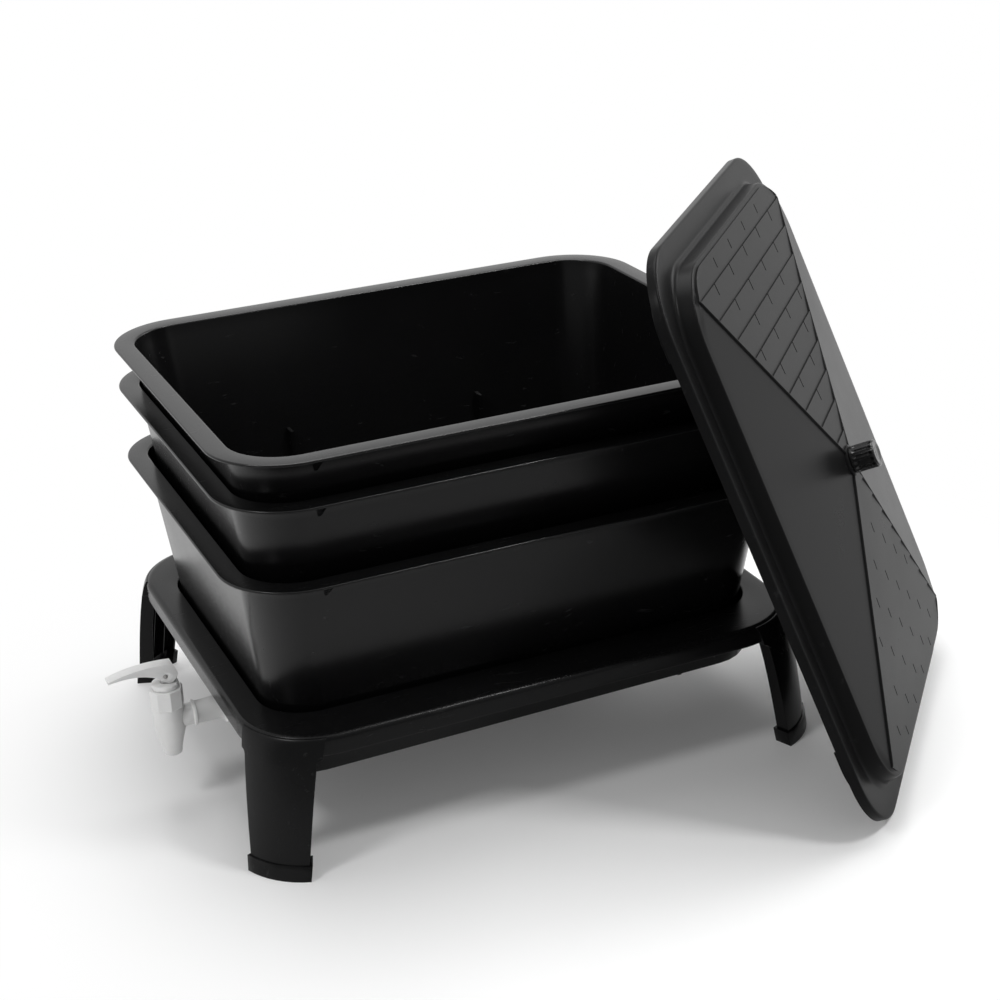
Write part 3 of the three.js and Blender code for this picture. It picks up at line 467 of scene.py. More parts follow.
def floor_cells(pitch, hole, floor):
    """Square cells of the floor, each with a round hole.

    A ray from the cell's middle meets the hole at its radius, and the cell's edge at half the pitch over the
    larger of its cosine and sine.
    """
    turn = np.arange(CELL_STEPS) / CELL_STEPS * TURN
    ray = np.stack([np.cos(turn), np.sin(turn)], -1)
    square = ray * (pitch / 2 / np.abs(ray).max(1))[:, None]
    lip = 0.5 * MM
    cell = levelled([
        (square, floor), (ray * (hole + lip), floor), (ray * hole, floor - lip),
        (ray * hole, lip), (ray * (hole + lip), 0), (square, 0),
    ])
    middles_x = (np.arange(FLOOR_COLUMNS) - (FLOOR_COLUMNS - 1) / 2) * pitch
    middles_y = (np.arange(FLOOR_ROWS) - (FLOOR_ROWS - 1) / 2) * pitch
    across, along = np.meshgrid(middles_x, middles_y)
    middles = np.stack([across.ravel(), along.ravel(), 0 * across.ravel()], -1)
    faces = grid_faces(len(cell), CELL_STEPS, False, True)
    points = (middles[:, None, None, :] + cell[None]).reshape(-1, 3)
    starts = np.arange(len(middles)) * len(cell) * CELL_STEPS
    return points, (faces[None] + starts[:, None, None]).reshape(-1, 4)


def block_border(pitch):
    """Points round the block of floor cells: per cell, half the pitch times the tangent of even angles."""
    step = np.tan(np.radians(np.arange(-45, 45, 360 / CELL_STEPS))) * pitch / 2
    along_x = ((np.arange(FLOOR_COLUMNS) - (FLOOR_COLUMNS - 1) / 2)[:, None] * pitch + step).ravel()
    along_y = ((np.arange(FLOOR_ROWS) - (FLOOR_ROWS - 1) / 2)[:, None] * pitch + step).ravel()
    at_x = FLOOR_COLUMNS * pitch / 2 + 0 * along_y
    at_y = FLOOR_ROWS * pitch / 2 + 0 * along_x
    sides = [(at_x, along_y), (-along_x, at_y), (-at_x, -along_y), (along_x, -at_y)]
    return np.concatenate([np.stack(side, -1) for side in sides])


def onto_outline(points, half_x, half_y, radius):
    """Each point moved along its ray from the middle onto a rounded rectangle.

    It goes to the nearer side face, or on a corner arc to the larger root of the ray and the circle.
    """
    ray = np.abs(points)
    reach = np.minimum(half_x / np.maximum(ray[:, 0], 1e-9), half_y / np.maximum(ray[:, 1], 1e-9))
    centre = np.array([half_x - radius, half_y - radius])
    on_corner = (ray * reach[:, None] > centre).all(1)
    a = (ray**2).sum(1)
    b = (ray * centre).sum(1)
    c = (centre**2).sum() - radius**2
    arc = (b + np.sqrt(np.maximum(b * b - a * c, 0))) / a
    return points * np.where(on_corner, arc, reach)[:, None]


def tray_floor(tray, wall_at):
    """Points and quads of the drilled floor: its cells, and an apron from their block out to the wall."""
    cells, faces = floor_cells(tray.hole_pitch, tray.hole_radius, tray.floor)
    border = block_border(tray.hole_pitch)
    foot = onto_outline(border, *wall_at(0, tray.wall + tray.floor / 2))
    apron = levelled([(border, tray.floor), (foot, tray.floor), (foot, 0), (border, 0)])
    rim = grid_faces(len(apron), len(border), False, True) + len(cells)
    return np.concatenate([cells, apron.reshape(-1, 3)]), np.concatenate([faces, rim])


def build_tray(tray, node, body, nest):
    """One tray: wall, rim, drilled floor, gussets under the rim and plates that carry the next tray."""
    whole = bmesh.new()
    place = np.array([MIDDLE[0], MIDDLE[1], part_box(node)[0].z])
    skin, wall_at = tray_skin(tray)
    put_skin(whole, skin + place, wrap_rows=True, wrap_columns=True)
    points, faces = tray_floor(tray, wall_at)
    put_faces(whole, points + place, faces)
    under = TRAY_HEIGHT - tray.rim_thick
    drop, reach, from_corner = 15 * MM, 15 * MM, 84 * MM
    plate_depth, plate_share, top = 9 * MM, 0.45, nest * MM
    gusset_thick, gusset_chamfer, plate_thick, plate_chamfer = 3 * MM, 0.35 * MM, 4 * MM, 0.4 * MM
    for out, along, turn in SIDES:
        high, low = wall_at(1)[out], wall_at(1 - drop / under)[out]
        inner = wall_at(0, plate_depth)[out]
        gusset_outline = [
            (high - SINK, under + SINK), (low - SINK, under - drop), (low + SINK, under - drop),
            (high + reach, under - SINK), (high + reach, under + SINK),
        ]
        plate_outline = [
            (inner, tray.floor - SINK), (wall_at(0)[out] - SINK, tray.floor - SINK),
            (wall_at(top / under)[out] - SINK, top), (inner, top),
        ]
        for end in (-1, 1):
            gusset = prism(gusset_outline, gusset_thick, gusset_chamfer)
            gusset[..., 1] += end * (RIM_HALF[along] - from_corner)
            plate = prism(plate_outline, plate_thick, plate_chamfer)
            plate[..., 1] += end * plate_share * wall_at(0, plate_depth)[along]
            for body_points in (gusset, plate):
                put_skin(whole, turned(body_points, turn) + place, wrap_columns=True)
    black = plastic("tray_black", tray.colour, "tray")
    bring_in(whole, node + "_moulding", body, node, black)


# Stand


def leg_wall(radius, half_angle, depth, wall):
    """The outer and inner run of a leg's C-shaped wall in (radius, angle).

    Each is a corner's arc with its edges turned in.
    """
    runs = []
    for reach, half in ((radius, half_angle), (radius - wall, half_angle - wall / radius)):
        arc = np.column_stack([np.full(LEG_STEPS, reach), np.linspace(-1, 1, LEG_STEPS) * half])
        runs.append(np.concatenate([[[radius - depth, -half]], arc, [[radius - depth, half]]]))
    return runs


def splayed(stand, points, middle):
    """Points of a leg moved out along its corner's diagonal.

    The way out is the floor's splay times the share of the way down to a power, and that power gives the
    skirt's splay at the skirt's foot.
    """
    top = STAND_HEIGHT - stand.wall + SINK
    skirt_share = (top - STAND_HEIGHT + stand.skirt) / top
    power = math.log(stand.leg_out_skirt / stand.leg_out_floor) / math.log(skirt_share)
    share = np.clip((top - points[..., 2]) / top, 0, 1)
    out = (stand.leg_out_floor * share**power)[..., None]
    diagonal = np.array([math.cos(middle), math.sin(middle), 0])
    centre = np.sign(diagonal[:2]) * (PLATE_HALF - stand.radius)
    return points + np.array([*centre, 0]) + out * diagonal


def leg_skin(stand, middle, low, high):
    """A leg from low to high as a C-shaped wall closed all round.

    Its half angle narrows evenly towards the foot, and opens in a quarter circle where it meets the
    skirt's foot.
    """
    skirt_foot = STAND_HEIGHT - stand.skirt
    fillet = stand.leg_fillet
    straight = np.linspace(low, skirt_foot - fillet, 7)
    opening = skirt_foot - fillet * np.cos(np.linspace(0, QUARTER, 7))[1:]
    behind_skirt = high - (high - skirt_foot) * np.linspace(1, 0, 12)[1:] ** 2
    heights = np.concatenate([straight, opening, behind_skirt])
    near = np.clip(heights - skirt_foot + fillet, 0, fillet)
    flare = (fillet - np.sqrt(fillet**2 - near**2)) / stand.radius
    wide = stand.leg_narrow + (stand.leg_wide - stand.leg_narrow) * heights / STAND_HEIGHT + flare
    sides = [], []
    for height, half_angle in zip(heights, wide):
        runs = leg_wall(stand.radius - 0.6 * MM, half_angle, stand.leg_return, stand.wall)
        for run, side in zip(runs, sides):
            reach, heading = run[:, 0], middle + run[:, 1]
            x, y = reach * np.cos(heading), reach * np.sin(heading)
            side.append(np.column_stack([x, y, height + 0 * reach]))
    outside, inside = sides
    return splayed(stand, ends_closed(np.stack(outside + inside[::-1])), middle)


def leg_rib(stand, middle, turn):
    """A thin upright rib inside a leg, from its inner face towards the middle of the corner."""
    inner = stand.radius - stand.wall
    shallow, sunk = inner - 9 * MM, inner + 1.8 * MM
    low, bend, high = 17 * MM, STAND_HEIGHT - stand.skirt, STAND_HEIGHT - 4 * MM
    outline = [(shallow, low), (sunk, low), (sunk, bend), (sunk, high), (shallow, high), (shallow, bend)]
    return splayed(stand, turned(prism(outline, stand.rib, 0.3 * MM), middle + turn), middle)


def plate_skin(stand, tray):
    """The stand's plate, throat and skirt as one closed ring section.

    Each row is a rounded rectangle, and the section's edges are circular arcs.
    """
    _, wall_at = tray_skin(tray)
    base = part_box("tray_bottom")[0].z
    throat_share = (STAND_HEIGHT - base) / (TRAY_HEIGHT - tray.rim_thick)
    throat = np.array(wall_at(throat_share)[:2]) + 2.2 * MM
    top, skirt_foot, under = STAND_HEIGHT, STAND_HEIGHT - stand.skirt, STAND_HEIGHT - stand.wall
    edge, lip, inner_edge, drop = stand.edge, 1.0 * MM, 2 * MM, 12 * MM
    inner_lip = stand.wall - 0.4 * MM
    outer_side = [
        *arc_rows(lip, skirt_foot + lip, lip, 270, 180, 5),
        *[(0, height) for height in np.linspace(skirt_foot + lip, top - edge, 5)[1:]],
        *arc_rows(edge, top - edge, edge, 180, 90, 9)[1:],
    ]
    throat_side = [
        *arc_rows(inner_edge, top - inner_edge, inner_edge, 90, 180, 6),
        (0, top - drop), (stand.wall, top - drop), (stand.wall, under),
    ]
    skirt_inside = [
        (edge, under), *arc_rows(edge, top - edge, edge - stand.wall, 90, 180, 6)[1:],
        (stand.wall, skirt_foot + lip), (inner_lip, skirt_foot),
    ]
    rows = [[*(PLATE_HALF - inset), stand.radius - inset, height] for inset, height in outer_side]
    rows += [[*(throat + out), tray.foot_radius + out, height] for out, height in throat_side]
    rows += [[*(PLATE_HALF - inset), stand.radius - inset, height] for inset, height in skirt_inside]
    return rings(*np.array(rows).T)


def build_stand(stand, tray):
    """The stand: its plate, four legs and their ribs, and the finish of its caps and basin."""
    whole = bmesh.new()
    place = np.array([MIDDLE[0], MIDDLE[1], 0])
    put_skin(whole, plate_skin(stand, tray) + place, wrap_rows=True, wrap_columns=True)
    foot, rib_turn = 3.3 * MM, 0.17
    for middle in LEG_TURNS:
        leg = leg_skin(stand, middle, foot, STAND_HEIGHT - stand.wall + SINK)
        put_skin(whole, leg + place, wrap_rows=True)
        for turn in (-rib_turn, rib_turn):
            put_skin(whole, leg_rib(stand, middle, turn) + place, wrap_columns=True)
    black = plastic("stand_black", stand.colour, "stand")
    piece = bring_in(whole, "stand_moulding", "stand_body", "stand", black)
    soften(piece, 0.6 * MM, sharper_than=50)
    caps = [f"foot_cap_{end}_{side}" for end in ("back", "front") for side in ("right", "left")]
    for node in (*caps, "collector_basin"):
        carry_over(node, black, 0.5 * MM)


# Lid


def lid_side(lid, thick):
    """(inset, height) down the lid's side from the crown's edge to its foot, drawn in by a thickness.

    A rounded crown edge, a steep straight wall, a hollow quarter circle at its foot, a flat brim and a
    rolled lip.
    """
    edge, cove, lip, brim = 2 * MM, 5 * MM, 7 * MM, lid.brim
    foot = lid.brim_height
    crown = arc_rows(lid.crown_inset + edge * 0.5, lid.crown_height - edge, edge, 90, 172, 9)
    hollow = arc_rows(brim, foot + cove, cove, -6, -90, 9)
    wall = crown[-1] + (hollow[0] - crown[-1]) * np.linspace(0, 1, 6)[1:-1, None]
    flat = [[brim * 0.8, foot], [brim * 0.6, foot], [brim * 0.4, foot]]
    curl = arc_rows(foot - lip, lip, foot - lip, 90, 180, 7)
    down = [[0, lip * 0.5], [0, 0]]
    return np.concatenate([crown, wall, hollow, flat, curl, down]) + np.array([thick, -thick])


def lid_ring(lid, inset, height):
    """Rounded rectangle of the lid at an inset: its corner radius eases from the brim's to the crown's."""
    radius = BRIM_RADIUS + (CROWN_RADIUS - BRIM_RADIUS) * np.asarray(inset) / lid.crown_inset
    return rings(LID_HALF[0] - inset, LID_HALF[1] - inset, radius, height, round_loop(LID_SIDE_STEPS))


def hip_height(lid, points):
    """Height of the hipped top.

    It is the apex less the rise times the larger share of the way out along either side.
    """
    share = np.abs(points[..., :2] / (LID_HALF - lid.crown_inset)).max(-1)
    return lid.apex_height - (lid.apex_height - lid.crown_height) * share


def hipped_rows(lid, inset, drop):
    """Rows of the hipped top from border to apex: the outline drawn in evenly, at the hipped height."""
    outline = lid_ring(lid, np.array([inset]), 0.0)[0, :, :2]
    flat = outline[None] * np.linspace(1, 0, HIP_ROWS)[:, None, None]
    return np.concatenate([flat, (hip_height(lid, flat) - drop)[..., None]], -1)


def lid_skin(lid):
    """The lid's shell as one closed skin: top, side and foot outside, then the same drawn in by the wall."""
    outer_side = lid_side(lid, 0)
    inner_side = np.concatenate([[[lid.wall, 0]], lid_side(lid, lid.wall)[-2::-1]])
    border = lid.crown_inset + 3.2 * MM
    top = hipped_rows(lid, border, 0)[::-1]
    under = hipped_rows(lid, border + lid.wall, lid.wall)
    return np.concatenate([top, lid_ring(lid, *outer_side.T), lid_ring(lid, *inner_side.T), under])


def held_in(points, half, radius):
    """Points of the lid's top held within a rounded rectangle of a half size and a corner radius."""
    flat = points.reshape(-1, 2)
    held = onto_outline(flat, *half, radius)
    past = np.linalg.norm(flat, axis=1) > np.linalg.norm(held, axis=1)
    return np.where(past[:, None], held, flat).reshape(points.shape)


def course_skin(lid, index, end):
    """One course of shingles on a short end, with short slots.

    It lies between two lines parallel to the eave, proud at the outer and flush at the inner one. Across,
    the columns stand at the slots' edges and are held within the hips. Along, the height is the hipped
    height plus the step times what is left of the course, less the slot's depth near a slot's middle line.
    At its very edge the course has a quarter of the step, which softens the edge.
    """
    half = LID_HALF - lid.crown_inset
    border, above, below, innermost = 3.6 * MM, 0.12 * MM, 1.0 * MM, 0.012
    edge_start, edge_run = 0.004, 0.016
    outer = 1 - (index / lid.courses if index else border / half[1])
    inner = max(1 - (index + 1) / lid.courses, innermost)
    count = TICK_COUNTS[index] if index < len(TICK_COUNTS) else 0
    middles = (np.arange(count) - (count - 1) / 2) * lid.tick_pitch
    slot, slope = lid.tick_width / 2, 0.45 * MM
    edges = (middles[:, None] + np.array([-slot - slope, -slot, slot, slot + slope])).ravel()
    columns = np.unique(np.concatenate([np.linspace(-half[0], half[0], COURSE_COLUMNS), edges]))
    depth = np.zeros_like(columns)
    if count:
        from_slot = np.abs(columns[:, None] - middles).min(1)
        depth = np.clip((slot + slope - from_slot) / slope, 0, 1) * min(lid.tick_depth, lid.course_step)
    if index:
        along = np.array([0, 0.012, 0.03, 0.22, 0.42, 0.435, 0.6, 0.8, 1.0])
        in_slot = along < 0.43
    else:
        along = np.array([0, 0.012, 0.03, 0.28, 0.295, 0.5, 0.70, 0.715, 1.0])
        in_slot = (along > 0.29) & (along < 0.71)
    share = (outer + (inner - outer) * along)[:, None]
    lift = lid.course_step * (1 - along) * np.minimum(1, (along + edge_start) / edge_run) + above
    x = np.clip(columns[None], -half[0] * share, half[0] * share)
    flat = np.stack([x, np.broadcast_to(half[1] * share, x.shape)], -1)
    flat = held_in(flat, half - border, CROWN_RADIUS - border)
    hipped = hip_height(lid, flat)
    points = np.dstack([flat, hipped + lift[:, None] - in_slot[:, None] * depth])
    bed = np.dstack([flat, hipped - below])
    around = np.concatenate([bed[:1], points, bed[-1:]])
    around[:, [0, -1]] = np.concatenate([bed[:1], bed, bed[-1:]])[:, [0, -1]]
    return around * np.array([end, end, 1])


def rib_skin(lid, sign_x, sign_y):
    """The rounded rib along a hip, carried from the crown's corner to the apex.

    It is a low arch: the rise times the root of one less the square of the share across.
    """
    half = LID_HALF - lid.crown_inset
    border, sunk, deep = 4 * MM, 0.5 * MM, 1.5 * MM
    corner = onto_outline(half[None], *(half - border), CROWN_RADIUS - border)[0]
    start = np.array([*corner, hip_height(lid, corner)])
    finish = np.array([0, 0, lid.apex_height])
    along = (finish - start) / np.linalg.norm(finish - start)
    across = np.cross([0, 0, 1], along)
    across /= np.linalg.norm(across)
    out = np.cross(along, across)
    share = np.linspace(-1, 1, 13)
    arch = np.sqrt(1 - share**2) * (lid.rib_rise + sunk) - sunk
    side = lid.rib_width / 2
    outline = np.concatenate([np.column_stack([share * side, arch]), [[side, -deep], [-side, -deep]]])
    steps = np.array([0, 0, 0.004, 0.01, 0.5, 1, 1])
    scale = np.array([0.0, 0.55, 0.86, 1, 1, 1, 0])
    rows = start + (finish - start) * steps[:, None]
    section = outline[None] * scale[:, None, None]
    points = rows[:, None] + section[..., :1] * across + section[..., 1:] * out
    return points * np.array([sign_x, sign_y, 1])


def lug_skin(tray, sign_x, sign_y):
    """A locating lug under the lid: a thin strip with straight ends along a tray's inner corner."""
    gap, straight, thick = 1.2 * MM, 16 * MM, 2.6 * MM
    half = (RIM_HALF[:2] - tray.rim_width - gap)[::-1]
    radius = tray.rim_radius - tray.rim_width - gap
    turn = np.linspace(0, QUARTER, 17)
    runs = []
    for inset in (0, thick):
        arc = half - radius + (radius - inset) * np.column_stack([np.cos(turn), np.sin(turn)])
        start = [[half[0] - inset, half[1] - radius - straight]]
        runs.append(np.concatenate([start, arc, [[half[0] - radius - straight, half[1] - inset]]]))
    outer, inner = runs
    top, lip = 9 * MM, 0.5 * MM
    around = levelled([
        (outer, top), (outer, lip - LUG_DROP), (outer * 0.7 + inner * 0.3, -LUG_DROP),
        (outer * 0.3 + inner * 0.7, -LUG_DROP), (inner, lip - LUG_DROP), (inner, top),
    ])
    return ends_closed(around) * np.array([sign_x, sign_y, 1])


def build_lid(lid, tray):
    """The lid: shell, shingled courses, hip ribs, knob seat and lugs, in its own axes and then leant."""
    whole = bmesh.new()

    def put(points, **wrap):
        put_skin(whole, points @ LID_AXES + LID_ORIGIN, **wrap)

    put(lid_skin(lid), wrap_columns=True)
    for end in (-1, 1):
        for index in range(lid.courses):
            put(course_skin(lid, index, end), wrap_rows=True)
    for sign_x in (-1, 1):
        for sign_y in (-1, 1):
            put(rib_skin(lid, sign_x, sign_y), wrap_columns=True)
            put(lug_skin(tray, sign_x, sign_y), wrap_rows=True)
    seat, low, wide = lid.apex_height + 1.5 * MM, lid.apex_height - 2 * MM, 16 * MM
    disc = [(0, low), (wide, low), (wide - 0.4 * MM, seat - 0.8 * MM), (wide - 1.2 * MM, seat), (0, seat)]
    put(revolved(disc), wrap_columns=True)
    black = plastic("lid_black", lid.colour, "lid")
    bring_in(whole, "lid_moulding", "lid_body", "lid_shell", black, sharp=28)


def build_knob(knob, lid):
    """The knob: a straight turned profile round the lid's axis, whose side is cut by rounded flutes.

    A flute's cut is its depth times a power of the cosine of the flutes' angle where that is above zero,
    and it fades out at both ends and towards the axis.
    """
    low = lid.apex_height + 1.8 * MM
    high = low + knob.height
    rim, foot, dish = 1.8 * MM, 0.6 * MM, 0.5 * MM
    radius = knob.radius
    side = np.linspace(low + foot, high - rim, 20)
    profile = [
        (0, low), (radius - foot, low), *[(radius, height) for height in side],
        *arc_rows(radius - rim, high - rim, rim, 0, 90, 8)[1:],
        (radius * 0.62, high), (radius * 0.55, high - dish), (0, high - dish),
    ]
    points = revolved(profile, KNOB_STEPS)
    turn = np.arctan2(points[..., 1], points[..., 0])
    up = (points[..., 2] - low) / knob.height
    start, start_run, finish, finish_run = 0.12, 0.1, 0.9, 0.06
    fade = np.clip((up - start) / start_run, 0, 1) * np.clip((finish - up) / finish_run, 0, 1)
    outer = np.clip(np.hypot(points[..., 0], points[..., 1]) / radius * 4 - 3, 0, 1)
    cut = knob.flute * np.clip(np.cos(turn * knob.flutes), 0, 1) ** 0.7 * fade * outer
    points[..., :2] *= (1 - cut / radius)[..., None]
    whole = bmesh.new()
    put_skin(whole, points @ LID_AXES + LID_ORIGIN, wrap_columns=True)
    black = plastic("knob_black", knob.colour, "knob")
    bring_in(whole, "lid_knob_turned", "lid_body", "lid_knob", black)
    carry_over("lid_knob_screw", metal("steel"))


# Tap


def pipe_skin(tap):
    """The tap's level pipe with its collar, flange and shank.

    A profile in (radius, way towards the basin) is carried round the pipe's axis, which lies along X.
    """
    bore, shank, flange, flange_radius = 6 * MM, 9 * MM, 54 * MM, 17 * MM
    shank_end = TAP_HIGH[0] - BARREL[0]
    in_mm = [
        (-0.6, 6), (0, 22), (0.5, 22.4), (1.8, 22.9), (1.8, 25.4), (0.5, 25.9),
        (0.2, 26.4), (0.8, 49), (1.6, 52), (3.2, 54),
    ]
    collared = [(tap.pipe_radius + out * MM, along * MM) for out, along in in_mm]
    edge = 0.6 * MM
    disc = [
        (flange_radius - edge, flange), (flange_radius, flange + edge),
        (flange_radius, flange + 2.8 * MM), (flange_radius - edge, flange + 3.4 * MM),
    ]
    end = [
        (shank, flange + 3.4 * MM), (shank, shank_end - 0.8 * MM), (shank - edge, shank_end),
        (bore, shank_end),
    ]
    upright = revolved([(bore, 6 * MM), *collared, *disc, *end])
    return np.stack([upright[..., 2], upright[..., 0], upright[..., 1]], -1) + PIPE_MEETS_BARREL


def barrel_skin(tap, head_low, head_top):
    """The tap's upright barrel, which narrows to the open spout by a power of the way down."""
    wide, narrow, bore = tap.barrel_radius, tap.spout_radius, tap.spout_bore
    ease = np.linspace(0, 1, 12)
    start, shoulder = 1.2 * MM - SPOUT_DROP, 12 * MM
    taper = np.column_stack([narrow + (wide - narrow) * ease**1.25, start + (SPOUT_DROP - shoulder) * ease])
    chamber, seat = 10 * MM, -6 * MM
    profile = [
        (bore, -SPOUT_DROP), (narrow - 0.9 * MM, -SPOUT_DROP), (narrow - 0.2 * MM, 0.5 * MM - SPOUT_DROP),
        *taper, (wide, head_low - 3 * MM), (wide, head_top - 2 * MM), (wide - 1.5 * MM, head_top),
        (chamber, head_top), (chamber, seat), (bore, seat),
    ]
    return revolved(profile) + PIPE_MEETS_BARREL


def head_skin(tap, low, top):
    """The tap's eight-sided head round the top of its barrel."""
    wide, edge = tap.head_radius, 0.8 * MM
    inner, top = tap.barrel_radius - 3 * MM, top - 0.05 * MM
    profile = [
        (inner, low), (wide - 1.2 * MM, low), (wide, low + 1.2 * MM),
        (wide, top - 0.75 * MM), (wide - edge, top), (inner, top),
    ]
    return turned(revolved(profile, 96, sides=8), TURN / 16) + PIPE_MEETS_BARREL


def build_tap(tap):
    """The tap: its moulded body, and the finish of its moving pieces, nuts, seals and pin."""
    whole = bmesh.new()
    head_low, head_top = 14 * MM, TAP_HIGH[2] - PIPE_HEIGHT
    for skin in (pipe_skin(tap), barrel_skin(tap, head_low, head_top), head_skin(tap, head_low, head_top)):
        put_skin(whole, skin, wrap_rows=True, wrap_columns=True)
    white = plastic("tap_white", tap.colour, "tap")
    piece = bring_in(whole, "tap_body_moulding", "stand_body", "tap_body", white)
    soften(piece, 0.4 * MM)
    for node in ("tap_bonnet", "tap_backnut", "tap_lever", "tap_stem"):
        carry_over(node, white, 0.8 * MM if node == "tap_lever" else 0.35 * MM)
    rubber = plastic("seal_rubber", tap.seal_colour, "rubber")
    for node in ("tap_seal_washer", "tap_nut_washer", "tap_plunger_seal", "tap_piston_seal"):
        carry_over(node, rubber)
    carry_over("tap_pin", metal("steel"))


# Materials


def node_in(tree, kind, **values):
    """Adds a node and sets its inputs or, where it has no input of that name, its properties."""
    made = tree.nodes.new(kind)
    for name, value in values.items():
        if name in made.inputs:
            made.inputs[name].default_value = value
        else:
            setattr(made, name, value)
    return made


def feed(tree, target, value):
    """Gives an input a constant or links a socket to it."""
    if isinstance(value, bpy.types.NodeSocket):
        tree.links.new(value, target)
    else:
        target.default_value = value


def math_node(tree, operation, *values):
    """The result of a Math node whose inputs are numbers or sockets."""
    made = node_in(tree, "ShaderNodeMath", operation=operation)
    for target, value in zip(made.inputs, values):
        feed(tree, target, value)
    return made.outputs[0]


def ramp(tree, value, low, high, start=0.0, finish=1.0, smooth=True):
    """A value between low and high mapped to one between start and finish, and held outside them."""
    limits = {"From Min": low, "From Max": high, "To Min": start, "To Max": finish}
    made = node_in(tree, "ShaderNodeMapRange", **limits)
    if smooth:
        made.interpolation_type = "SMOOTHSTEP"
    tree.links.new(value, made.inputs["Value"])
    return made.outputs[0]


def noise(tree, place, scale, detail, roughness=0.5):
    """A noise pattern over a place."""
    made = node_in(tree, "ShaderNodeTexNoise", Scale=scale, Detail=detail, Roughness=roughness)
    tree.links.new(place, made.inputs["Vector"])
    return made


def blended(tree, share, first, second):
    """A colour mixed by a share from a first, a socket or three numbers, to a second of three numbers."""
    made = node_in(tree, "ShaderNodeMix", data_type="RGBA")
    factor, first_colour, second_colour = made.inputs[0], made.inputs[6], made.inputs[7]
    tree.links.new(share, factor)
    feed(tree, first_colour, first if isinstance(first, bpy.types.NodeSocket) else (*first, 1))
    second_colour.default_value = (*second, 1)
    return made.outputs[2]


def new_group(name, inputs, outputs):
    """A new node group with number sockets: the group, its entry, its exit and the object's coordinates."""
    group = bpy.data.node_groups.new(name, "ShaderNodeTree")
    for label, value in inputs.items():
        made = group.interface.new_socket(name=label, in_out="INPUT", socket_type="NodeSocketFloat")
        made.default_value = value
    for label in outputs:
        group.interface.new_socket(name=label, in_out="OUTPUT", socket_type="NodeSocketFloat")
    entry = node_in(group, "NodeGroupInput").outputs
    leave = node_in(group, "NodeGroupOutput").inputs
    return group, entry, leave, node_in(group, "ShaderNodeTexCoord").outputs["Object"]


def moulded_skin():
    """Group: fine grain and the long soft waves of a moulded plastic face, as one height.

    The height is each noise times its own strength, added up.
    """
    name = "moulded skin"
    if name in bpy.data.node_groups:
        return bpy.data.node_groups[name]
    inputs = {"Grain scale": 1800.0, "Grain": 0.3, "Waves": 1.0}
    group, entry, leave, place = new_group(name, inputs, ["Height"])
    grain = noise(group, place, scale=1.0, detail=3.0, roughness=0.6)
    group.links.new(entry["Grain scale"], grain.inputs["Scale"])
    waves = noise(group, place, scale=9.0, detail=1.5, roughness=0.4)
    fine = math_node(group, "MULTIPLY", grain.outputs["Fac"], entry["Grain"])
    height = math_node(group, "MULTIPLY_ADD", waves.outputs["Fac"], entry["Waves"], fine)
    group.links.new(height, leave["Height"])
    return group


def handling_wear():
    """Group: scuffs, faint cloudy patches and settled dust, each as a mask."""
    name = "handling wear"
    if name in bpy.data.node_groups:
        return bpy.data.node_groups[name]
    group, entry, leave, place = new_group(name, {"Amount": 0.5}, ["Scuffs", "Patches", "Dust"])
    bend = noise(group, place, scale=6.0, detail=2.0)
    shifted = node_in(group, "ShaderNodeVectorMath", operation="MULTIPLY_ADD")
    for target, value in zip(shifted.inputs, (bend.outputs["Color"], (0.06, 0.06, 0.06), place)):
        feed(group, target, value)
    stretch = node_in(group, "ShaderNodeMapping", Scale=(9.0, 140.0, 60.0), Rotation=(0.4, 0.7, 0.9))
    group.links.new(shifted.outputs[0], stretch.inputs["Vector"])
    lines = noise(group, stretch.outputs[0], scale=1.6, detail=4.0, roughness=0.7)
    thin = ramp(group, lines.outputs["Fac"], 0.64, 0.72, smooth=False)
    group.links.new(math_node(group, "MULTIPLY", thin, entry["Amount"]), leave["Scuffs"])
    clouds = noise(group, place, scale=14.0, detail=5.0, roughness=0.6)
    group.links.new(clouds.outputs["Fac"], leave["Patches"])
    facing = node_in(group, "ShaderNodeSeparateXYZ")
    group.links.new(node_in(group, "ShaderNodeNewGeometry").outputs["Normal"], facing.inputs[0])
    upward = ramp(group, facing.outputs["Z"], 0.55, 1.0, smooth=False)
    grit = noise(group, place, scale=420.0, detail=4.0, roughness=0.7)
    specks = ramp(group, grit.outputs["Fac"], 0.5, 0.8, smooth=False)
    settled = math_node(group, "MULTIPLY", upward, specks)
    group.links.new(math_node(group, "MULTIPLY", settled, entry["Amount"]), leave["Dust"])
    return group


FINISH_FIELDS = ("shine", "rough", "spread", "wear", "grain", "waves", "bump", "depth", "dust")
FINISHES = {
    "tray": (0.32, 0.23, 0.10, 0.45, 0.10, 1.0, 0.35, 0.25, 0.10),
    "stand": (0.17, 0.25, 0.12, 0.5, 0.18, 0.9, 0.35, 0.25, 0.12),
    "lid": (0.055, 0.29, 0.08, 0.40, 0.6, 0.6, 0.4, 0.12, 0.10),
    "knob": (0.5, 0.20, 0.08, 0.40, 0.3, 0.3, 0.3, 0.10, 0.10),
    "tap": (0.5, 0.33, 0.08, 0.25, 0.2, 0.4, 0.3, 0.12, 0.05),
    "rubber": (0.3, 0.72, 0.1, 0.4, 1.0, 0.2, 0.4, 0.1, 0.2),
}
SCUFF_COLOUR, DUST_COLOUR = 0.35, 0.42
SCUFF_SHARE, DUST_SHARE = 0.22, 0.5
SCUFF_COVER, SCUFF_ROUGH = 0.28, 0.22


def new_material(name):
    """A new material with nodes: the material, its tree and its shader."""
    material = bpy.data.materials.new(name)
    material.use_nodes = True
    return material, material.node_tree, material.node_tree.nodes["Principled BSDF"]


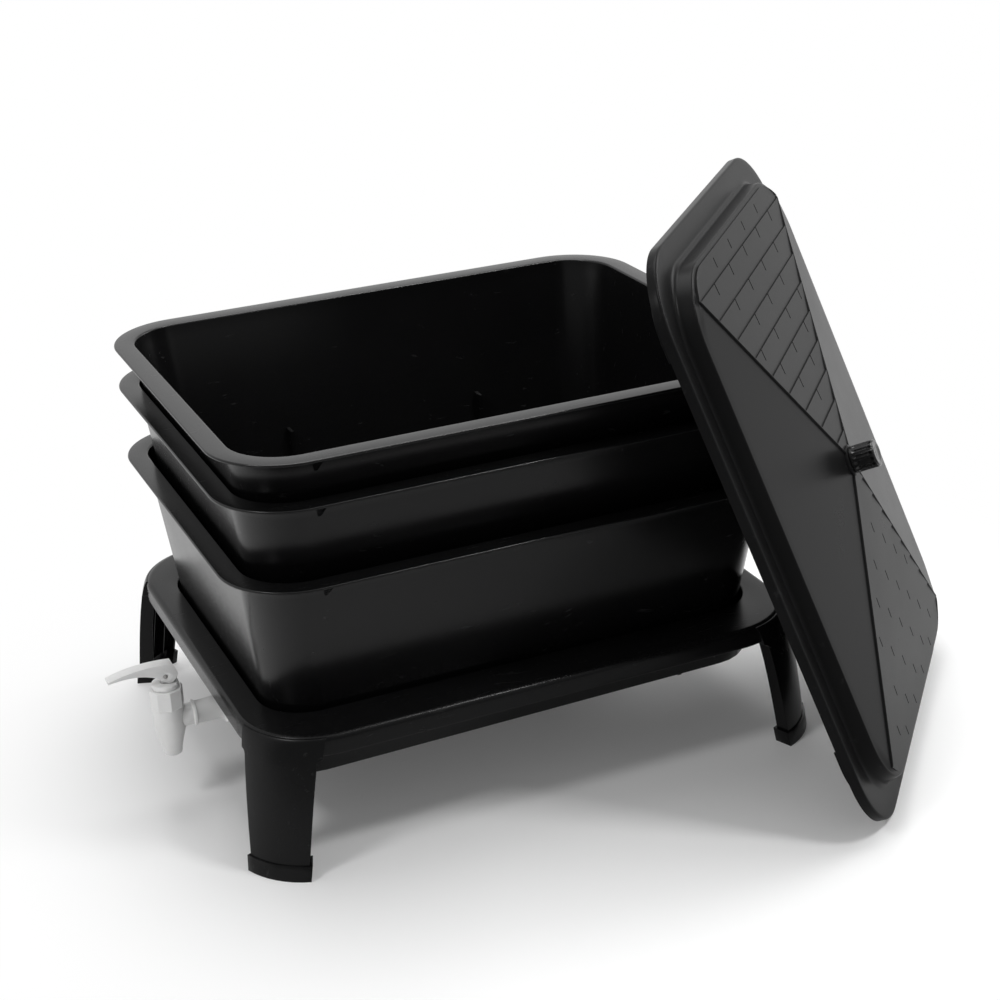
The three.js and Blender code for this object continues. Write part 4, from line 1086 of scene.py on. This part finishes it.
def grained(tree, shader, strength, depth, **skin):
    """Feeds the shader's normal from the moulded skin, with a bump of a strength and a depth in mm."""
    height = node_in(tree, "ShaderNodeGroup", node_tree=moulded_skin())
    for name, value in skin.items():
        height.inputs[name].default_value = value
    bump = node_in(tree, "ShaderNodeBump", Strength=strength, Distance=depth * MM)
    tree.links.new(height.outputs["Height"], bump.inputs["Height"])
    tree.links.new(bump.outputs["Normal"], shader.inputs["Normal"])


def plastic(name, tint, finish):
    """Moulded plastic, whose gloss breaks up with its patches and scuffs.

    Its colour clouds over, and pales on scuffs and under dust.
    """
    name = "moulded_" + name
    if name in bpy.data.materials:
        return bpy.data.materials[name]
    values = dict(zip(FINISH_FIELDS, FINISHES[finish]))
    material, tree, shader = new_material(name)
    wear = node_in(tree, "ShaderNodeGroup", node_tree=handling_wear(), Amount=values["wear"])
    tint = np.array(tint)
    scuffs = math_node(tree, "MULTIPLY", wear.outputs["Scuffs"], SCUFF_COVER)
    dust = math_node(tree, "MULTIPLY", wear.outputs["Dust"], values["dust"])
    clouded = blended(tree, wear.outputs["Patches"], tint * 0.82, np.minimum(tint * 1.2, 1))
    worn = blended(tree, scuffs, clouded, tint + (SCUFF_COLOUR - tint) * SCUFF_SHARE)
    dusty = blended(tree, dust, worn, tint + (DUST_COLOUR - tint) * DUST_SHARE)
    tree.links.new(dusty, shader.inputs["Base Color"])
    smoothest = values["rough"] - values["spread"] / 2
    patchy = math_node(tree, "MULTIPLY_ADD", wear.outputs["Patches"], values["spread"], smoothest)
    scuffed = math_node(tree, "MULTIPLY_ADD", wear.outputs["Scuffs"], SCUFF_ROUGH, patchy)
    tree.links.new(scuffed, shader.inputs["Roughness"])
    grained(tree, shader, values["bump"], values["depth"], Grain=values["grain"], Waves=values["waves"])
    shader.inputs["IOR"].default_value = 1.49
    shader.inputs["Specular IOR Level"].default_value = values["shine"]
    material.diffuse_color = (*tint, 1)
    return material


def metal(name):
    """Plain turned steel: a light tarnish, and a gloss that breaks up with it."""
    name = "turned_" + name
    if name in bpy.data.materials:
        return bpy.data.materials[name]
    material, tree, shader = new_material(name)
    shader.inputs["Metallic"].default_value = 1.0
    wear = node_in(tree, "ShaderNodeGroup", node_tree=handling_wear())
    tarnished = blended(tree, wear.outputs["Patches"], (0.60, 0.60, 0.61), (0.42, 0.40, 0.38))
    tree.links.new(tarnished, shader.inputs["Base Color"])
    rough = math_node(tree, "MULTIPLY_ADD", wear.outputs["Patches"], 0.2, 0.25)
    tree.links.new(rough, shader.inputs["Roughness"])
    grained(tree, shader, 0.2, 0.1)
    return material


# Stage

SOFT_WORLD = 0.35
# Strength of a faint glow painted on the floor near the object, which lightens the shadow there
FLOOR_PAINTED_GLOW = 0.06
DIM_MIRRORED = 0.3
CAMERA_SIDE = (-0.39, -0.92, 0)
# Name, place, aim, size in metres and power in watts
LAMPS = (
    ("top_lamp", (0.2, 0.7, 2.7), (0, 0, 0.2), 1.6, 41),
    ("right_lamp", (2.4, 0.2, 1.5), (0.2, -0.1, 0.3), 1.1, 18),
    ("key_lamp", (0.9, -1.0, 2.4), (0, 0, 0.2), 0.4, 16),
    ("left_lamp", (-1.6, -0.5, 2.0), (-0.2, 0, 0.2), 0.4, 10),
)


def mixed(tree, share, first, second):
    """A shader mixed by a share from a first to a second."""
    made = node_in(tree, "ShaderNodeMixShader")
    for target, value in zip(made.inputs, (share, first, second)):
        tree.links.new(value, target)
    return made.outputs[0]


def seen_white(tree, shade, white, output):
    """Joins a shade and a plain white, which the camera, mirror and glass rays see, into an output."""
    rays = node_in(tree, "ShaderNodeLightPath").outputs
    mirror_or_glass = math_node(tree, "MAXIMUM", rays["Is Glossy Ray"], rays["Is Transmission Ray"])
    either = math_node(tree, "MAXIMUM", rays["Is Camera Ray"], mirror_or_glass)
    tree.links.new(mixed(tree, either, shade, white), output.inputs["Surface"])


def pale_floor(tint):
    """A plain pale floor, whose front half mirrors dimly.

    Near the object it is matt and keeps the shadow, lightened by a faint painted glow that camera and
    mirror rays see, and further out it is plain white to camera, mirror and glass rays.
    """
    material, tree, shader = new_material("pale_floor")
    shader.inputs["Base Color"].default_value = (*tint, 1)
    shader.inputs["Roughness"].default_value = 0.9
    shader.inputs["Specular IOR Level"].default_value = 0.1
    place = node_in(tree, "ShaderNodeTexCoord").outputs["Object"]
    away = node_in(tree, "ShaderNodeVectorMath", operation="LENGTH")
    along = node_in(tree, "ShaderNodeSeparateXYZ")
    for reader in (away, along):
        tree.links.new(place, reader.inputs[0])
    far = ramp(tree, away.outputs["Value"], 0.32, 0.74)
    front = ramp(tree, along.outputs["Y"], 0.0, -0.7, finish=0.68)
    # The middle emission is a faint painted glow that lightens the floor's shadow near the object
    glows = [node_in(tree, "ShaderNodeEmission", Strength=level) for level in (1.0, FLOOR_PAINTED_GLOW, 0.0)]
    white, lift, dark = (glow.outputs[0] for glow in glows)
    with_painted_glow = node_in(tree, "ShaderNodeAddShader")
    tree.links.new(shader.outputs[0], with_painted_glow.inputs[0])
    tree.links.new(lift, with_painted_glow.inputs[1])
    mirrored = node_in(tree, "ShaderNodeLightPath").outputs["Is Glossy Ray"]
    seen = mixed(tree, far, with_painted_glow.outputs[0], white)
    seen = mixed(tree, math_node(tree, "MULTIPLY", front, mirrored), seen, dark)
    seen_white(tree, shader.outputs[0], seen, tree.nodes["Material Output"])
    return material


def soft_world():
    """A plain white world that lights softly, and mirrors dimly from the camera's side."""
    world = bpy.data.worlds.new("plain_world")
    world.use_nodes = True
    tree = world.node_tree
    soft = tree.nodes["Background"]
    soft.inputs["Color"].default_value = (1, 1, 1, 1)
    soft.inputs["Strength"].default_value = SOFT_WORLD
    white = node_in(tree, "ShaderNodeBackground", Color=(1, 1, 1, 1), Strength=1.0)
    heading = node_in(tree, "ShaderNodeVectorMath", operation="DOT_PRODUCT")
    heading.inputs[1].default_value = CAMERA_SIDE
    tree.links.new(node_in(tree, "ShaderNodeTexCoord").outputs["Generated"], heading.inputs[0])
    mirrored = node_in(tree, "ShaderNodeBackground", Color=(1, 1, 1, 1))
    dimmed = ramp(tree, heading.outputs["Value"], 0.3, 0.8, 1.0, DIM_MIRRORED)
    tree.links.new(dimmed, mirrored.inputs["Strength"])
    glossy = node_in(tree, "ShaderNodeLightPath").outputs["Is Glossy Ray"]
    seen = mixed(tree, glossy, white.outputs[0], mirrored.outputs[0])
    seen_white(tree, soft.outputs[0], seen, tree.nodes["World Output"])
    return world


def put_lamp(name, place, aim, size, power):
    """A soft square lamp at a place, turned towards a point."""
    light = bpy.data.lights.new(name, "AREA")
    light.size = size
    light.energy = power
    made = bpy.data.objects.new(name, light)
    made.location = place
    made.rotation_euler = (Vector(aim) - Vector(place)).to_track_quat("-Z", "Y").to_euler()
    bpy.context.scene.collection.objects.link(made)


def put_camera(stage):
    """The camera, whose yaw turns it from +Y towards +X, whose pitch lowers it and whose roll tips it."""
    yaw, pitch, roll = stage.camera_turn
    flat, down = math.cos(pitch), math.sin(pitch)
    ahead = Vector((math.sin(yaw) * flat, math.cos(yaw) * flat, -down))
    level_right = Vector((math.cos(yaw), -math.sin(yaw), 0))
    level_up = level_right.cross(ahead)
    right = math.cos(roll) * level_right + math.sin(roll) * level_up
    up = -math.sin(roll) * level_right + math.cos(roll) * level_up
    data = bpy.data.cameras.new("camera")
    data.lens = stage.lens
    data.sensor_width = 36
    camera = bpy.data.objects.new("camera", data)
    turn = Matrix((right, up, -ahead)).transposed().to_4x4()
    camera.matrix_world = Matrix.Translation(Vector(stage.camera_place)) @ turn
    bpy.context.scene.collection.objects.link(camera)
    bpy.context.scene.camera = camera


def build_stage(stage):
    """Pale floor, plain world, soft lamps and the camera."""
    scene = bpy.context.scene
    scene.view_settings.view_transform = "Standard"
    reach = FLOOR_REACH
    corners = [(-reach, -reach, 0), (reach, -reach, 0), (reach, reach, 0), (-reach, reach, 0)]
    mesh = bpy.data.meshes.new("plain_floor")
    mesh.from_pydata(corners, [], [(0, 1, 2, 3)])
    mesh.materials.append(pale_floor(stage.floor_colour))
    floor = bpy.data.objects.new("plain_floor", mesh)
    scene.collection.objects.link(floor)
    scene.world = soft_world()
    for name, place, aim, size, power in LAMPS:
        put_lamp(name, place, aim, size, power * stage.lamp_level)
    put_camera(stage)


# Operators and panel


class MakeStage(bpy.types.Operator):
    """Lay the pale floor, set the soft light and place the camera"""

    bl_idname = "wormery.make_stage"
    bl_label = "Stage"

    def execute(self, context):
        build_stage(context.scene.wormery_stage)
        return {"FINISHED"}


class MakeTrays(bpy.types.Operator):
    """Mould the three trays over their CAD nodes"""

    bl_idname = "wormery.make_trays"
    bl_label = "Trays"

    def execute(self, context):
        for node, body, nest in TRAYS:
            build_tray(context.scene.wormery_trays, node, body, nest)
        return {"FINISHED"}


class MakeStand(bpy.types.Operator):
    """Mould the stand and finish its foot caps and basin"""

    bl_idname = "wormery.make_stand"
    bl_label = "Stand"

    def execute(self, context):
        build_stand(context.scene.wormery_stand, context.scene.wormery_trays)
        return {"FINISHED"}


class MakeLid(bpy.types.Operator):
    """Mould the hipped, shingled lid"""

    bl_idname = "wormery.make_lid"
    bl_label = "Lid"

    def execute(self, context):
        build_lid(context.scene.wormery_lid, context.scene.wormery_trays)
        return {"FINISHED"}


class MakeKnob(bpy.types.Operator):
    """Turn the lid's knob and finish its screw"""

    bl_idname = "wormery.make_knob"
    bl_label = "Knob"

    def execute(self, context):
        build_knob(context.scene.wormery_knob, context.scene.wormery_lid)
        return {"FINISHED"}


class MakeTap(bpy.types.Operator):
    """Mould the tap's body and finish its moving pieces and seals"""

    bl_idname = "wormery.make_tap"
    bl_label = "Tap"

    def execute(self, context):
        build_tap(context.scene.wormery_tap)
        return {"FINISHED"}


class WormeryPanel(bpy.types.Panel):
    """Sizes, colours and the steps that build the wormery"""

    bl_idname = "VIEW3D_PT_wormery"
    bl_label = "Wormery"
    bl_space_type = "VIEW_3D"
    bl_region_type = "UI"
    bl_category = "Wormery"

    def draw(self, context):
        for name, _, operator in STEPS:
            box = self.layout.box()
            settings = getattr(context.scene, name)
            for field in settings.bl_rna.properties:
                if field.identifier not in ("rna_type", "name"):
                    box.prop(settings, field.identifier)
            box.operator(operator.bl_idname)


STEPS = (
    ("wormery_stage", StageSettings, MakeStage),
    ("wormery_trays", TraySettings, MakeTrays),
    ("wormery_stand", StandSettings, MakeStand),
    ("wormery_lid", LidSettings, MakeLid),
    ("wormery_knob", KnobSettings, MakeKnob),
    ("wormery_tap", TapSettings, MakeTap),
)


def register():
    for name, settings, operator in STEPS:
        bpy.utils.register_class(settings)
        setattr(bpy.types.Scene, name, PointerProperty(type=settings))
        bpy.utils.register_class(operator)
    bpy.utils.register_class(WormeryPanel)


def unregister():
    bpy.utils.unregister_class(WormeryPanel)
    for name, settings, operator in reversed(STEPS):
        bpy.utils.unregister_class(operator)
        delattr(bpy.types.Scene, name)
        bpy.utils.unregister_class(settings)


def main():
    register()
    bpy.ops.wormery.make_stage()
    bpy.ops.wormery.make_trays()
    bpy.ops.wormery.make_stand()
    bpy.ops.wormery.make_lid()
    bpy.ops.wormery.make_knob()
    bpy.ops.wormery.make_tap()


if __name__ == "__main__":
    main()
